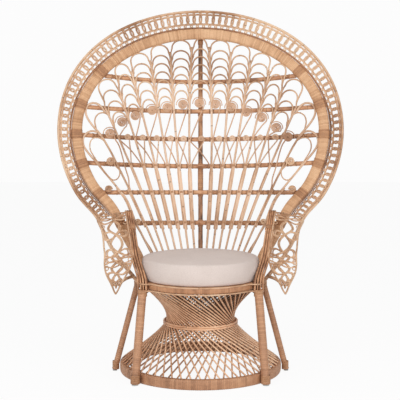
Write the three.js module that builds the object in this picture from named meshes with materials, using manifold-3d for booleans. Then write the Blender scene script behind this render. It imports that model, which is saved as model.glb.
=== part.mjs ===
// Peacock chair: a round rattan back on an hourglass base, with a loose seat cushion.
// Millimetres, +Z up, the sitter faces -Y. The middle of the seat is over x = y = 0 until the last step.

import * as THREE from 'three';
import { mergeVertices } from 'three/addons/utils/BufferGeometryUtils.js';
import Module from 'manifold-3d';

const wasm = await Module();
wasm.setup();

// Driving dimensions

const clearance = 0.4;            // between pieces that touch
const joinDepth = 2;              // how far one cane runs into another that it is joined to

const seatTop = 356;              // top of the seat ring
const seatRingRadius = 230;       // its outside
const seatRingHeight = 25;
const seatRingWall = 24;
const deckThickness = 6;
const trimRadius = 3;             // thin cane under the seat ring
const cushionInset = 4;           // from the seat ring's outside to the cushion's widest line
const cushionHeight = 84;         // at its top edge
const cushionCrown = 14;          // rise of its middle over its top edge
const cushionDrawIn = 4;          // how far its edges pull in from its widest line
const cushionEdge = 8;            // rounding of its edges

const baseRingRadius = 307;       // outside of the wrapped ring on the floor
const baseRingHeight = 38;
const baseRingWall = 24;
const ringSegments = 44;
const ringChamferShare = 0.2;     // of a wrapped ring's wall
const waistHeight = 187;          // of the waist ring's middle
const waistRadius = 143;          // outside of the waist ring
const waistCaneRadius = 4;
const weaveCaneRadius = 3.5;
const weaveCount = 20;            // canes in each family of the weave
const upperTwist = 65;            // degrees that a cane turns from the seat to the waist
const lowerTwist = 45;            // and from the waist to the floor
const weaveSides = 3;
const weaveSpread = 10.5;         // radius of the outer family over the inner one
const weaveEndHeight = 18;        // of the canes' lower ends

const frontLegRadius = 16;
const sideLegRadius = 11.5;
const frontLegTopAngle = -31;     // degrees from the +X side
const frontLegFootAngle = -43.5;
const sideLegTopAngle = 14;
const sideLegFootAngle = -2;
const glideHeight = 4;
const glideRadiusShare = 0.75;    // of the leg's radius

const backLean = 12;              // degrees
const hoopHalfWidth = 496;        // centre line of the hoop at its widest
const hoopWideHeight = 558;       // up the back from the seat ring
const hoopUpperRise = 417;
const hoopLowerDrop = 449;
const hoopTurnAngle = 48;          // degrees under the widest place where the feet begin
const hoopFootSpread = 230;
const hoopFootDrop = 30;          // how far down the dish the hoop's feet end
const hoopFootGap = 2.4;          // from the ring to the middle of the foot's inner face
const hoopFootBlendShare = 0.14;  // of half the hoop's length, where a foot is drawn in to the ring
const hoopWidth = 40;
const hoopThickness = 24;
const hoopStations = 50;
const dishRecess = 86;            // how far the widest place stands before the middle
const dishBlendHeight = 424;      // under this height the back wraps round the seat
const blendStations = 4;          // corners of a rib's line up to there
const seatWrapShare = 1.05;       // curve of the back at the seat ring, as a share of the ring's
const borderSkipCount = 5;        // stations of the hoop under each end of the border
const edgeCaneRadius = 3;
const laceWidth = 64;             // at the top of the back
const laceSideShare = 0.6;        // its width at the sides
const laceThickness = 7;
const rimRadius = 4;

const ribRadius = 4;
const ribSides = 4;
const legWidth = 5;               // arch canes that run beside a rib
const legGap = 0.8;               // from a rib to the arch cane beside it
const archCane = 7;
const archThickness = 6;
const archPitch = 40;
const archRise = 34;
const archLegCornerCount = 2;     // corners of the ribs up to the cut of the arch canes
const curlRadius = 18;
const curlCane = 6;
const curlTurns = 1.35;
const curlSteps = 6;              // corners in a turn
const curlDrop = 24;              // from the last arch to the middle of its curl
const railRadius = 8.5;
const railClearance = 0.9;
const railSteps = 16;
const poleRadius = 10;
const poleTopGap = 16;

const postCaneRadius = 6;         // canes of an arm's bundle
const postCaneCount = 4;
const postSideGap = 14.6;         // from the seat ring to the bundle's middle beside the cushion's top edge
const postSideAngle = -3;         // degrees, where it passes there
const armLaceThickness = 7;
const armLaceGap = 2.3;           // from the bundle to the belt
const armRimRadius = 5;
const armBraceRadius = 8;
const armBraceBow = 16;           // how far the brace bows outwards
const armBraceAngle = -12;        // degrees, where the brace ends at the seat ring
const armReturnShare = 0.1;       // of the brace's length, where the belt's end cane meets it
const armReturnShares = [0.1, 0.8]; // where that cane starts, of the belt's width and of its last cell
const postTopShare = 0.3;         // spread of the bundle's top, of its foot's

// Places on the back, as shares of the hoop's half width and of its height

const ribSeatShares = [0.032, 0.077, 0.121, 0.165, 0.21, 0.25, 0.286, 0.322];
const ribKneeShares = [0.081, 0.157, 0.234, 0.317, 0.401, 0.486, 0.573, 0.65];
const ribTopShares = [0.085, 0.236, 0.387, 0.55, 0.698, 0.893, 1.06, 1.04];
const ribKneeShare = 0.328;
const ribTopShare = 0.795;
const archCounts = [6, 7, 7, 6, 5, 4, 3];
const archPitchShares = [0.95, 1, 1, 1.05, 1.15, 1.25, 1.35];
const railShares = [0.795, 0.669, 0.55, 0.436, 0.326, 0.199];
const railRiseShares = [0.025, 0.005, 0.006, 0.005, -0.008, -0.017];

// Upper ends of an arm's canes, as shares of the hoop's length from its foot, of its width outwards and of its
// thickness towards the sitter

const armTopInnerShares = [0.0929, -0.997, 1.186];
const armTopOuterShares = [0.1056, 1.7275, 0.266];
const armBraceTopShares = [0.0988, 1.8, 0.19];

// Lower places, as shares of the way from the seat ring to the hoop's widest place, of the seat ring's radius, and of
// the hoop's wide height from the seat's top up

const armFoldInnerShares = [0.078, -0.52, 0.192];
const armFoldOuterShares = [0.45, -0.65, 0.175];
const armTipOuterShares = [0.352, -0.22, -0.088];
const armTipInnerShares = [0.309, -0.22, -0.082];

// Materials

const honeyCane = { color: 0xcf9c68, roughness: 0.5, metalness: 0 };
const wrappedCane = { color: 0xc99660, roughness: 0.55, metalness: 0 };
const greyCane = { color: 0x8a6f55, roughness: 0.6, metalness: 0 };
const canvas = { color: 0xe0d3c8, roughness: 0.95, metalness: 0 };
const glidePlastic = { color: 0xb9b9b6, roughness: 0.5, metalness: 0 };

const chair = new THREE.Group();

function part(name, geometry, finish) {
  const mesh = new THREE.Mesh(geometry, new THREE.MeshStandardMaterial(finish));
  mesh.name = name;
  chair.add(mesh);
  return mesh;
}

// Joining

function bare(geometry) {
  const copy = geometry.clone();
  copy.deleteAttribute('normal');
  copy.deleteAttribute('uv');
  return mergeVertices(copy, 1e-4);
}

function outward(geometry) {
  const shape = bare(geometry);
  const place = shape.attributes.position;
  const corners = shape.index.array;
  const [a, b, c] = [new THREE.Vector3(), new THREE.Vector3(), new THREE.Vector3()];
  let volume = 0;
  for (let i = 0; i < corners.length; i += 3) {
    a.fromBufferAttribute(place, corners[i]);
    b.fromBufferAttribute(place, corners[i + 1]);
    c.fromBufferAttribute(place, corners[i + 2]);
    volume += a.dot(b.cross(c));
  }
  if (volume < 0) {
    for (let i = 0; i < corners.length; i += 3) {
      [corners[i], corners[i + 1]] = [corners[i + 1], corners[i]];
    }
  }
  return shape;
}

function solid(geometry) {
  const shape = outward(geometry);
  const vertProperties = new Float32Array(shape.attributes.position.array);
  const triVerts = new Uint32Array(shape.index.array);
  return new wasm.Manifold(new wasm.Mesh({ numProp: 3, vertProperties, triVerts }));
}

function geometryOf(body) {
  const mesh = body.getMesh();
  const geometry = new THREE.BufferGeometry();
  geometry.setAttribute('position', new THREE.BufferAttribute(new Float32Array(mesh.vertProperties), 3));
  geometry.setIndex(new THREE.BufferAttribute(new Uint32Array(mesh.triVerts), 1));
  return geometry;
}

function join(geometries) {
  const bodies = geometries.map(solid);
  return geometryOf(bodies.reduce((whole, next) => whole.add(next)));
}

// Sections, canes and rings

function roundSection(radius, sides) {
  const points = [];
  for (let i = 0; i < sides; i++) {
    const turn = (i * 2 * Math.PI) / sides;
    points.push(new THREE.Vector2(radius * Math.cos(turn), radius * Math.sin(turn)));
  }
  return new THREE.Shape(points);
}

function bandSection(thickness, width, chamferShare = 0.3) {
  const [x, y] = [thickness / 2, width / 2];
  const cut = thickness * chamferShare;
  const corners = [[x, y - cut], [0, y], [-x, y - cut], [-x, cut - y], [0, -y], [x, cut - y]];
  return new THREE.Shape(corners.map(([a, b]) => new THREE.Vector2(a, b)));
}

function sweep(curve, section, steps) {
  return new THREE.ExtrudeGeometry(section, { extrudePath: curve, steps, bevelEnabled: false });
}

function stick(from, to, radius, sides = 4) {
  return sweep(new THREE.LineCurve3(from, to), roundSection(radius, sides), 1);
}

// A cane that keeps one side of its section turned to a face direction
class FacedCane extends THREE.Curve {
  constructor(placeAt, faceAt) {
    super();
    this.placeAt = placeAt;
    this.faceAt = faceAt;
  }

  getPoint(t) {
    return this.placeAt(t);
  }

  getSpacedPoints(steps) {
    return this.getPoints(steps);
  }

  computeFrenetFrames(steps) {
    const frames = { tangents: [], normals: [], binormals: [] };
    for (let i = 0; i <= steps; i++) {
      const before = this.placeAt(Math.max(0, i - 1) / steps);
      const after = this.placeAt(Math.min(steps, i + 1) / steps);
      const tangent = after.sub(before).normalize();
      const face = this.faceAt(i / steps);
      const normal = face.addScaledVector(tangent, -face.dot(tangent)).normalize();
      frames.tangents.push(tangent);
      frames.normals.push(normal);
      frames.binormals.push(new THREE.Vector3().crossVectors(tangent, normal));
    }
    return frames;
  }
}

// A section carried straight from place to place
function sweepThrough(places, faces, section) {
  const steps = places.length - 1;
  const cane = new FacedCane((t) => places[Math.round(t * steps)].clone(), (t) => faces[Math.round(t * steps)].clone());
  return sweep(cane, section, steps);
}

function turned(profile, segments) {
  const points = profile.map(([r, z]) => new THREE.Vector2(r, z));
  return outward(new THREE.LatheGeometry(points, segments).rotateX(Math.PI / 2));
}

function ringProfile(radius, height, wall) {
  const cut = wall * ringChamferShare;
  const inner = radius - wall;
  return [[radius, cut], [radius, height - cut], [radius - cut, height], [inner + cut, height],
    [inner, height - cut], [inner, cut], [inner + cut, 0], [radius - cut, 0], [radius, cut]];
}

function roundRingProfile(radius, caneRadius, sides) {
  const points = [];
  for (let i = 0; i <= sides; i++) {
    const turn = ((i % sides) * 2 * Math.PI) / sides;
    points.push([radius + caneRadius * Math.cos(turn), caneRadius * Math.sin(turn)]);
  }
  return points;
}

function polar(radius, degrees, z) {
  const turn = THREE.MathUtils.degToRad(degrees);
  return new THREE.Vector3(radius * Math.cos(turn), radius * Math.sin(turn), z);
}

// The dished back: u across, v up the back from the seat ring, w towards the sitter

const lean = THREE.MathUtils.degToRad(backLean);
const across = new THREE.Vector3(1, 0, 0);
const upBack = new THREE.Vector3(0, Math.sin(lean), Math.cos(lean));
const forward = new THREE.Vector3(0, -Math.cos(lean), Math.sin(lean));
const backFoot = new THREE.Vector3(0, seatRingRadius + ribRadius + 2 * clearance, seatTop - seatRingHeight / 2);
const backHeight = hoopWideHeight + hoopUpperRise;
const topBend = dishRecess / hoopHalfWidth ** 2;
const seatBend = seatWrapShare / (2 * backFoot.y);

function bendAt(v) {
  const share = Math.max(0, 1 - v / dishBlendHeight);
  return topBend + (seatBend - topBend) * share * share;
}

// How fast the bend changes up the back
function bendSlopeAt(v) {
  const share = Math.max(0, 1 - v / dishBlendHeight);
  return -2 * (seatBend - topBend) * share / dishBlendHeight;
}

function dishFace(u, v) {
  return forward.clone().addScaledVector(across, -2 * bendAt(v) * u)
    .addScaledVector(upBack, -bendSlopeAt(v) * u * u).normalize();
}

function onDish(u, v, w = 0) {
  return backFoot.clone().addScaledVector(across, u).addScaledVector(upBack, v)
    .addScaledVector(forward, bendAt(v) * u * u).addScaledVector(dishFace(u, v), w);
}

// A flat cut-out, laid on the dish
function laid(outline, holes, thickness, w = 0) {
  const edge = outline.map(([u, v]) => new THREE.Vector2(u, v));
  const shape = new THREE.Shape(THREE.ShapeUtils.isClockWise(edge) ? edge.reverse() : edge);
  shape.holes = holes.map((hole) => new THREE.Path(hole.map(([u, v]) => new THREE.Vector2(u, v))));
  const geometry = bare(new THREE.ExtrudeGeometry(shape, { depth: thickness, bevelEnabled: false }));
  const place = geometry.attributes.position;
  for (let i = 0; i < place.count; i++) {
    const at = onDish(place.getX(i), place.getY(i), w + place.getZ(i) - thickness / 2);
    place.setXYZ(i, at.x, at.y, at.z);
  }
  return geometry;
}

// The hoop's line: two half ellipses, and feet that come down to the seat ring

function hoopLinePoints() {
  const points = [];
  for (let degrees = 90; degrees > -hoopTurnAngle; degrees -= 15) {
    const turn = THREE.MathUtils.degToRad(degrees);
    const rise = degrees > 0 ? hoopUpperRise : hoopLowerDrop;
    points.push([hoopHalfWidth * Math.cos(turn), hoopWideHeight + rise * Math.sin(turn)]);
  }
  const footShares = [[0.447, 0.531], [0.235, 0.369], [0.1, 0.225], [0, 0]];
  const [lastU, lastV] = points[points.length - 1];
  for (const [uShare, vShare] of footShares) {
    const u = hoopFootSpread + (lastU - hoopFootSpread) * uShare;
    points.push([u, (lastV + hoopFootDrop) * vShare - hoopFootDrop]);
  }
  const left = points.slice(1).reverse().map(([u, v]) => [-u, v]);
  return [...left, ...points].map(([u, v]) => new THREE.Vector2(u, v));
}

const hoopLine = new THREE.SplineCurve(hoopLinePoints());
hoopLine.arcLengthDivisions = 600;

function besideHoop(share, offset) {
  const place = hoopLine.getPointAt(share);
  const along = hoopLine.getTangentAt(share);
  return [place.x - along.y * offset, place.y + along.x * offset];
}

const hoopPolygon = [];
for (let i = 0; i <= hoopStations; i++) {
  hoopPolygon.push(new THREE.Vector2(...besideHoop(i / hoopStations, 0)));
}

function distanceToHoop(u, v) {
  let nearest = Infinity;
  for (let i = 0; i < hoopStations; i++) {
    const [a, b] = [hoopPolygon[i], hoopPolygon[i + 1]];
    const side = b.clone().sub(a);
    const share = THREE.MathUtils.clamp(((u - a.x) * side.x + (v - a.y) * side.y) / side.lengthSq(), 0, 1);
    nearest = Math.min(nearest, Math.hypot(u - a.x - share * side.x, v - a.y - share * side.y));
  }
  return nearest;
}

function insideHoop(u, v) {
  let inside = false;
  for (let i = 0; i <= hoopStations; i++) {
    const [a, b] = [hoopPolygon[i], hoopPolygon[(i + 1) % (hoopStations + 1)]];
    const crosses = (a.y > v) !== (b.y > v) && u < a.x + ((v - a.y) / (b.y - a.y)) * (b.x - a.x);
    if (crosses) inside = !inside;
  }
  return inside;
}

// The share of the way from a free place to a place past the hoop where something still clears it
function reach(placesAt, room) {
  let [free, past] = [0, 1];
  for (let i = 0; i < 24; i++) {
    const middle = (free + past) / 2;
    const clear = placesAt(middle).every(([u, v]) => insideHoop(u, v) && distanceToHoop(u, v) > room);
    if (clear) free = middle;
    else past = middle;
  }
  return free;
}

// Hoop, its edge cane, the lace and the rim

const hoopFoot = onDish(hoopFootSpread, -hoopFootDrop).setZ(0);
const hoopFootRoom = hoopFoot.length() - seatRingRadius - hoopThickness / 2 - hoopFootGap;
const hoopFootInset = -hoopFootRoom / hoopFoot.normalize().dot(dishFace(hoopFootSpread, -hoopFootDrop));

function hoopForward(share) {
  const fromFoot = Math.min(share, 1 - share) * 2;
  return hoopFootInset * Math.max(0, 1 - fromFoot / hoopFootBlendShare);
}

function alongHoop(fromShare, toShare, offsetAt) {
  const shareAt = (t) => fromShare + (toShare - fromShare) * t;
  return new FacedCane(
    (t) => onDish(...besideHoop(shareAt(t), offsetAt(shareAt(t))), hoopForward(shareAt(t))),
    (t) => dishFace(...besideHoop(shareAt(t), 0)),
  );
}

const borderSteps = hoopStations - 2 * borderSkipCount;
const borderFrom = borderSkipCount / hoopStations;
const edgeOffset = hoopWidth / 2 + clearance + edgeCaneRadius;
const laceInner = edgeOffset + edgeCaneRadius + clearance;

function laceWidthAt(share) {
  const [, v] = besideHoop(share, 0);
  const height = THREE.MathUtils.smoothstep(v, hoopWideHeight, backHeight);
  return laceWidth * (laceSideShare + (1 - laceSideShare) * height);
}

function laceOuter(share) {
  return laceInner + laceWidthAt(share);
}

part('hoop', sweep(alongHoop(0, 1, () => 0), bandSection(hoopThickness, hoopWidth), hoopStations), wrappedCane);

part('hoop_edge_cane', sweep(alongHoop(borderFrom, 1 - borderFrom, () => edgeOffset),
  roundSection(edgeCaneRadius, 4), borderSteps), honeyCane);

part('border_rim', sweep(alongHoop(borderFrom, 1 - borderFrom, (share) => laceOuter(share) + clearance + rimRadius),
  roundSection(rimRadius, 4), borderSteps), honeyCane);

// One oval hole for each station of the hoop
function borderLace() {
  const ovalShares = [[0.28, 0.13], [0.09, 0.5], [0.28, 0.87], [0.72, 0.87], [0.91, 0.5], [0.72, 0.13]];
  const inner = [];
  const outer = [];
  const holes = [];
  for (let i = 0; i <= borderSteps; i++) {
    const share = (i + borderSkipCount) / hoopStations;
    inner.push(besideHoop(share, laceInner));
    outer.push(besideHoop(share, laceOuter(share)));
    if (i < borderSteps) {
      holes.push(ovalShares.map(([alongShare, acrossShare]) => {
        const here = share + alongShare / hoopStations;
        return besideHoop(here, laceInner + laceWidthAt(here) * acrossShare);
      }));
    }
  }
  return laid([...inner, ...outer.reverse()], holes, laceThickness);
}

part('border_lace', borderLace(), honeyCane);

// Ribs

function ribAt(index, v) {
  const [seat, knee, top] = [0, ribKneeShare * backHeight, ribTopShare * backHeight];
  const first = ribSeatShares[index] * (v - knee) * (v - top) / ((seat - knee) * (seat - top));
  const second = ribKneeShares[index] * (v - seat) * (v - top) / ((knee - seat) * (knee - top));
  const third = ribTopShares[index] * (v - seat) * (v - knee) / ((top - seat) * (top - knee));
  return hoopHalfWidth * (first + second + third);
}

const hoopRoom = hoopWidth / 2 + clearance;
const bayCount = archCounts.length;

function ribName(index, side) {
  return `rib_${side < 0 ? 'left' : 'right'}_${index + 1}`;
}

// Bays between two ribs. x runs from -1 to 1 between the arch legs' inner edges, and v is
// measured along the bay, so that an arch stands square to its bay.

function bayEdges(bay, v) {
  const keep = ribRadius + legGap + legWidth;
  const right = ribAt(bay, v) - keep;
  const left = bay === 0 ? -right : ribAt(bay - 1, v) + keep;
  return [left, right];
}

function inBay(bay, x, v, beside = 0) {
  const [left, right] = bayEdges(bay, v);
  const [leftNext, rightNext] = bayEdges(bay, v + archPitch);
  const slope = (leftNext + rightNext - left - right) / 2 / archPitch;
  const down = v - slope * x * (right - left) / 2;
  const [l, r] = bayEdges(bay, down);
  const middle = (l + r) / 2;
  return [middle + x * ((r - l) / 2 + beside), down];
}

const archTurnShares = [1, 2 / 3, 1 / 3, 0];

// The top side of an arch from its left spring to its right, widened by beside
function archLine(bay, peak, beside = 0) {
  return archTurnShares.map((share) => {
    const turn = Math.PI * share;
    const rise = peak - archRise * (1 - Math.sin(turn));
    return inBay(bay, Math.cos(turn), rise, beside);
  });
}

const bayLowShare = 0.6;          // a height where every bay is free, of the hoop's widest height

function bayPeak(bay) {
  const low = hoopWideHeight * bayLowShare;
  const span = backHeight - low;
  const places = (share) => archLine(bay, low + span * share, legWidth);
  return low + span * reach(places, hoopRoom);
}

const bayPeaks = archCounts.map((count, bay) => bayPeak(bay));

// Heights where ribs and the legs beside them both have a corner
const stationStep = dishBlendHeight / blendStations;
const archLegEnd = archLegCornerCount * stationStep;

function stationsBetween(low, high) {
  const heights = [];
  for (let v = stationStep; v < high - stationStep / 4; v += stationStep) {
    if (v > low + stationStep / 4) heights.push(v);
  }
  return heights;
}

// A flat curl that winds in from a straight tail, which meets its outer turn on the right-hand side
function curl([u, v], radius, cane, turns, [tailU, tailV]) {
  const outerLine = radius - cane / 2;
  const toTail = Math.atan2(tailV - v, tailU - u);
  const start = toTail + Math.acos(outerLine / Math.hypot(tailU - u, tailV - v));
  const steps = Math.round(turns * curlSteps);
  const at = (turn, distance) => [u + distance * Math.cos(turn), v + distance * Math.sin(turn)];
  const outside = [];
  const inside = [];
  for (let i = 0; i <= steps; i++) {
    const turn = start + (i / curlSteps) * 2 * Math.PI;
    const middle = outerLine - (i / steps) * (outerLine - cane);
    outside.push(at(turn, middle + cane / 2));
    inside.push(at(turn, middle - cane / 2));
  }
  const half = cane / 2;
  const tail = [-half, half].map((side) => [tailU + side * Math.cos(start), tailV + side * Math.sin(start)]);
  return laid([...tail, ...outside, ...inside.reverse()], [], archThickness);
}

function mirrored(geometry) {
  return outward(geometry.clone().scale(-1, 1, 1));
}

function archSet(bay) {
  const pitch = archPitch * archPitchShares[bay];
  const count = archCounts[bay];
  const peaks = [];
  for (let i = 0; i <= count; i++) {
    peaks.push(bayPeaks[bay] - i * pitch);
  }
  const holes = [];
  for (let i = 0; i + 1 < count; i++) {
    holes.push([...archLine(bay, peaks[i] - archCane), ...archLine(bay, peaks[i + 1]).reverse()]);
  }
  const lastUnder = archLine(bay, peaks[count - 1] - archCane);
  const legUpTo = (side, beside, spring) => {
    const heights = [archLegEnd, ...stationsBetween(archLegEnd, spring)];
    return heights.map((v) => [bayEdges(bay, v)[side < 0 ? 0 : 1] + side * beside, v]);
  };
  const topLine = archLine(bay, peaks[0], legWidth);
  const [leftTop, rightTop, leftUnder, rightUnder] = [topLine[0], topLine[3], lastUnder[0], lastUnder[3]];
  const outline = [
    ...legUpTo(-1, legWidth, leftTop[1]), ...topLine, ...legUpTo(1, legWidth, rightTop[1]).reverse(),
    ...legUpTo(1, 0, rightUnder[1]), ...lastUnder.reverse(), ...legUpTo(-1, 0, leftUnder[1]).reverse(),
  ];
  return { outline, holes, lastPeak: peaks[count - 1] };
}

function baySolid(bay) {
  const { outline, holes, lastPeak } = archSet(bay);
  const pieces = [laid(outline, holes, archThickness)];
  const curlAt = inBay(bay, 0, lastPeak - archCane - curlDrop);
  const legAt = (v) => [bayEdges(bay, v)[0] - legWidth / 2, v];
  const tailEnd = legAt(Math.min(railShares[2] * backHeight, curlAt[1] - 3 * curlRadius));
  pieces.push(curl(curlAt, curlRadius, curlCane, curlTurns, tailEnd));
  return pieces;
}

for (let index = 0; index < ribSeatShares.length; index++) {
  const placesAt = (share) => [[ribAt(index, backHeight * share), backHeight * share]];
  const reachShare = reach(placesAt, hoopRoom + ribRadius);
  const valley = index < bayCount - 1
    ? Math.max(bayPeaks[index], bayPeaks[index + 1]) - archRise
    : backHeight;
  const end = Math.min(reachShare * backHeight, valley);
  const heights = [0, ...stationsBetween(0, end), end];
  const places = heights.map((v) => [ribAt(index, v), v]);
  const rib = sweepThrough(places.map((place) => onDish(...place)), places.map((place) => dishFace(...place)),
    roundSection(ribRadius, ribSides));
  part(ribName(index, 1), rib, honeyCane);
  part(ribName(index, -1), mirrored(rib), honeyCane);
}

for (let bay = 0; bay < bayCount; bay++) {
  const arches = join(baySolid(bay));
  if (bay === 0) {
    part('arches_centre', arches, honeyCane);
  } else {
    part(`arches_right_${bay}`, arches, honeyCane);
    part(`arches_left_${bay}`, mirrored(arches), honeyCane);
  }
}

// Rails behind the ribs, and the pole behind the rails

const railDepth = -(ribRadius + railClearance + railRadius);

railShares.forEach((share, index) => {
  const middle = share * backHeight;
  const railHeight = (u) => middle + railRiseShares[index] * backHeight * (u / hoopHalfWidth) ** 2;
  const placesAt = (way) => [[hoopHalfWidth * way, railHeight(hoopHalfWidth * way)]];
  const end = hoopHalfWidth * reach(placesAt, hoopRoom);
  const at = (t) => [end * (2 * t - 1), railHeight(end * (2 * t - 1))];
  const line = new FacedCane((t) => onDish(...at(t), railDepth), (t) => dishFace(...at(t)));
  part(`rail_${index + 1}`, sweep(line, roundSection(railRadius, 6), railSteps), wrappedCane);
});

const poleDepth = railDepth - railRadius - clearance - poleRadius;
const poleTop = backHeight - hoopRoom - poleTopGap;
part('centre_pole', stick(onDish(0, 0, poleDepth), onDish(0, poleTop, poleDepth), poleRadius, 8), greyCane);

// Seat ring, deck and trim

const seatRing = part('seat_ring', turned(ringProfile(seatRingRadius, seatRingHeight, seatRingWall), ringSegments), wrappedCane);
seatRing.position.z = seatTop - seatRingHeight;

const flatShare = Math.cos(Math.PI / ringSegments);
const deckRadius = seatRingRadius - seatRingWall - clearance / flatShare;
const deckProfile = [[0, 0], [deckRadius, 0], [deckRadius, deckThickness], [0, deckThickness]];
const deck = part('seat_deck', turned(deckProfile, ringSegments), honeyCane);
deck.position.z = seatTop - seatRingWall * ringChamferShare - deckThickness;

const trim = part('seat_trim_cane', turned(roundRingProfile(seatRingRadius - 2 * trimRadius, trimRadius, 4), 28), honeyCane);
trim.position.z = seatTop - seatRingHeight - trimRadius - clearance;

// Cushion: bottom flat on the seat ring, sides fullest at mid height and drawn in at both edges, top crowned

const cushionRadius = seatRingRadius - cushionInset;

function cushionProfile() {
  const points = [[0, 0]];
  const edgeRadius = cushionRadius - cushionDrawIn;
  points.push([edgeRadius - cushionEdge, 0]);
  for (let i = 0; i <= 4; i++) {
    const share = i / 4;
    const swell = cushionDrawIn * Math.sin(Math.PI * share);
    points.push([edgeRadius + swell, cushionEdge / 2 + (cushionHeight - cushionEdge) * share]);
  }
  for (let i = 1; i < 4; i++) {
    const share = i / 4;
    const reachOut = (edgeRadius - cushionEdge / 3) * Math.sqrt(1 - share ** 1.5);
    points.push([reachOut, cushionHeight + cushionCrown * (1 - (1 - share) ** 2)]);
  }
  points.push([0, cushionHeight + cushionCrown]);
  return points;
}

const cushion = part('cushion', turned(cushionProfile(), 30), canvas);
cushion.position.z = seatTop + clearance;

// Hourglass base: floor ring, two families of straight canes with opposite twist, waist ring

part('base_ring', turned(ringProfile(baseRingRadius, baseRingHeight, baseRingWall), ringSegments), wrappedCane);

const weaveTop = seatTop - seatRingHeight - clearance - weaveCaneRadius;
const weaveTopRadius = seatRingRadius - 4 * trimRadius - weaveCaneRadius - clearance;
const weaveFootRadius = (baseRingRadius - baseRingWall) * flatShare - weaveCaneRadius - clearance;
const weaveWaistRadius = (waistRadius - 2 * waistCaneRadius) * flatShare - weaveCaneRadius - 3 * clearance;

function weave(direction, inset) {
  const radii = [weaveTopRadius - inset, weaveWaistRadius - inset, weaveFootRadius - inset];
  const canes = [];
  for (let i = 0; i < weaveCount; i++) {
    const start = (360 * i) / weaveCount;
    const top = polar(radii[0], start, weaveTop);
    const waist = polar(radii[1], start + direction * upperTwist, waistHeight);
    const foot = polar(radii[2], start + direction * (upperTwist + lowerTwist), weaveEndHeight);
    const places = [top, waist, foot];
    const faces = places.map((place) => place.clone().setZ(0));
    canes.push(sweepThrough(places, faces, roundSection(weaveCaneRadius, weaveSides)));
  }
  const topHoop = turned(roundRingProfile(radii[0], weaveCaneRadius, 4), weaveCount);
  const footHoop = turned(roundRingProfile(radii[2], weaveCaneRadius, 4), weaveCount);
  return join([...canes, topHoop.translate(0, 0, weaveTop), footHoop.translate(0, 0, weaveEndHeight)]);
}

part('base_weave_outer', weave(1, 0), honeyCane);
part('base_weave_inner', weave(-1, weaveSpread), honeyCane);

// Two canes one over the other
function waistRing() {
  const [r, middle] = [waistCaneRadius, waistRadius - waistCaneRadius];
  const shares = [[0.5, 1.8], [1, 1], [0.6, 0], [1, -1], [0.5, -1.8], [-0.5, -1.6], [-1, 0], [-0.5, 1.6], [0.5, 1.8]];
  return turned(shares.map(([x, z]) => [middle + r * x, r * z]), ringSegments);
}

const waist = part('waist_ring', waistRing(), honeyCane);
waist.position.z = waistHeight;

// Legs outside the rings, each on a plastic glide

function leg(name, radius, topAngle, footAngle, side) {
  const ringLevel = seatTop - seatRingWall * ringChamferShare;
  const floorRingLevel = baseRingHeight - baseRingWall * ringChamferShare;
  const fall = ringLevel - floorRingLevel;
  const half = radius / Math.cos(Math.atan((baseRingRadius - seatRingRadius) / fall));
  const atRing = polar(seatRingRadius + clearance + half, topAngle, ringLevel);
  const atFloorRing = polar(baseRingRadius + clearance + half, footAngle, floorRingLevel);
  const outAt = (level) => atRing.clone().lerp(atFloorRing, (ringLevel - level) / fall);
  const top = outAt(seatTop);
  const foot = outAt(glideHeight + clearance);
  top.x *= side;
  foot.x *= side;
  const straight = new FacedCane((t) => top.clone().lerp(foot, t), () => top.clone().setZ(0));
  const pole = sweep(straight, roundSection(radius, 8), 1);
  const place = pole.attributes.position;
  for (let i = 0; i < place.count; i++) {
    const atTop = place.getZ(i) > (top.z + foot.z) / 2;
    const end = atTop ? top : foot;
    const rise = end.z - place.getZ(i);
    const slope = top.clone().sub(foot).multiplyScalar(rise / (top.z - foot.z));
    place.setXYZ(i, place.getX(i) + slope.x, place.getY(i) + slope.y, end.z);
  }
  part(name, outward(pole), wrappedCane);
  const glide = new THREE.CylinderGeometry(radius * glideRadiusShare, radius * glideRadiusShare, glideHeight, 12);
  const pad = part(name.replace('leg', 'glide'), glide.rotateX(Math.PI / 2), glidePlastic);
  pad.position.set(foot.x, foot.y, glideHeight / 2);
}

leg('front_leg_right', frontLegRadius, frontLegTopAngle, frontLegFootAngle, 1);
leg('front_leg_left', frontLegRadius, frontLegTopAngle, frontLegFootAngle, -1);
leg('side_leg_right', sideLegRadius, sideLegTopAngle, sideLegFootAngle, 1);
leg('side_leg_left', sideLegRadius, sideLegTopAngle, sideLegFootAngle, -1);

// Arms: a bundle of canes from the front leg up to the hoop, and a lace belt that hangs outside it

function besideHoopFoot([alongShare, outShare, forwardShare]) {
  return onDish(...besideHoop(1 - alongShare, hoopWidth * outShare), hoopThickness * forwardShare);
}

function armPlace([xShare, yShare, zShare]) {
  const x = seatRingRadius + xShare * (hoopHalfWidth - seatRingRadius);
  return new THREE.Vector3(x, yShare * seatRingRadius, seatTop + zShare * hoopWideHeight);
}

const armTopInner = besideHoopFoot(armTopInnerShares);
const armTopOuter = besideHoopFoot(armTopOuterShares);
const armFoldInner = armPlace(armFoldInnerShares);
const armFoldOuter = armPlace(armFoldOuterShares);
const armTipOuter = armPlace(armTipOuterShares);
const armTipInner = armPlace(armTipInnerShares);
const armBraceTop = besideHoopFoot(armBraceTopShares);

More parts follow.
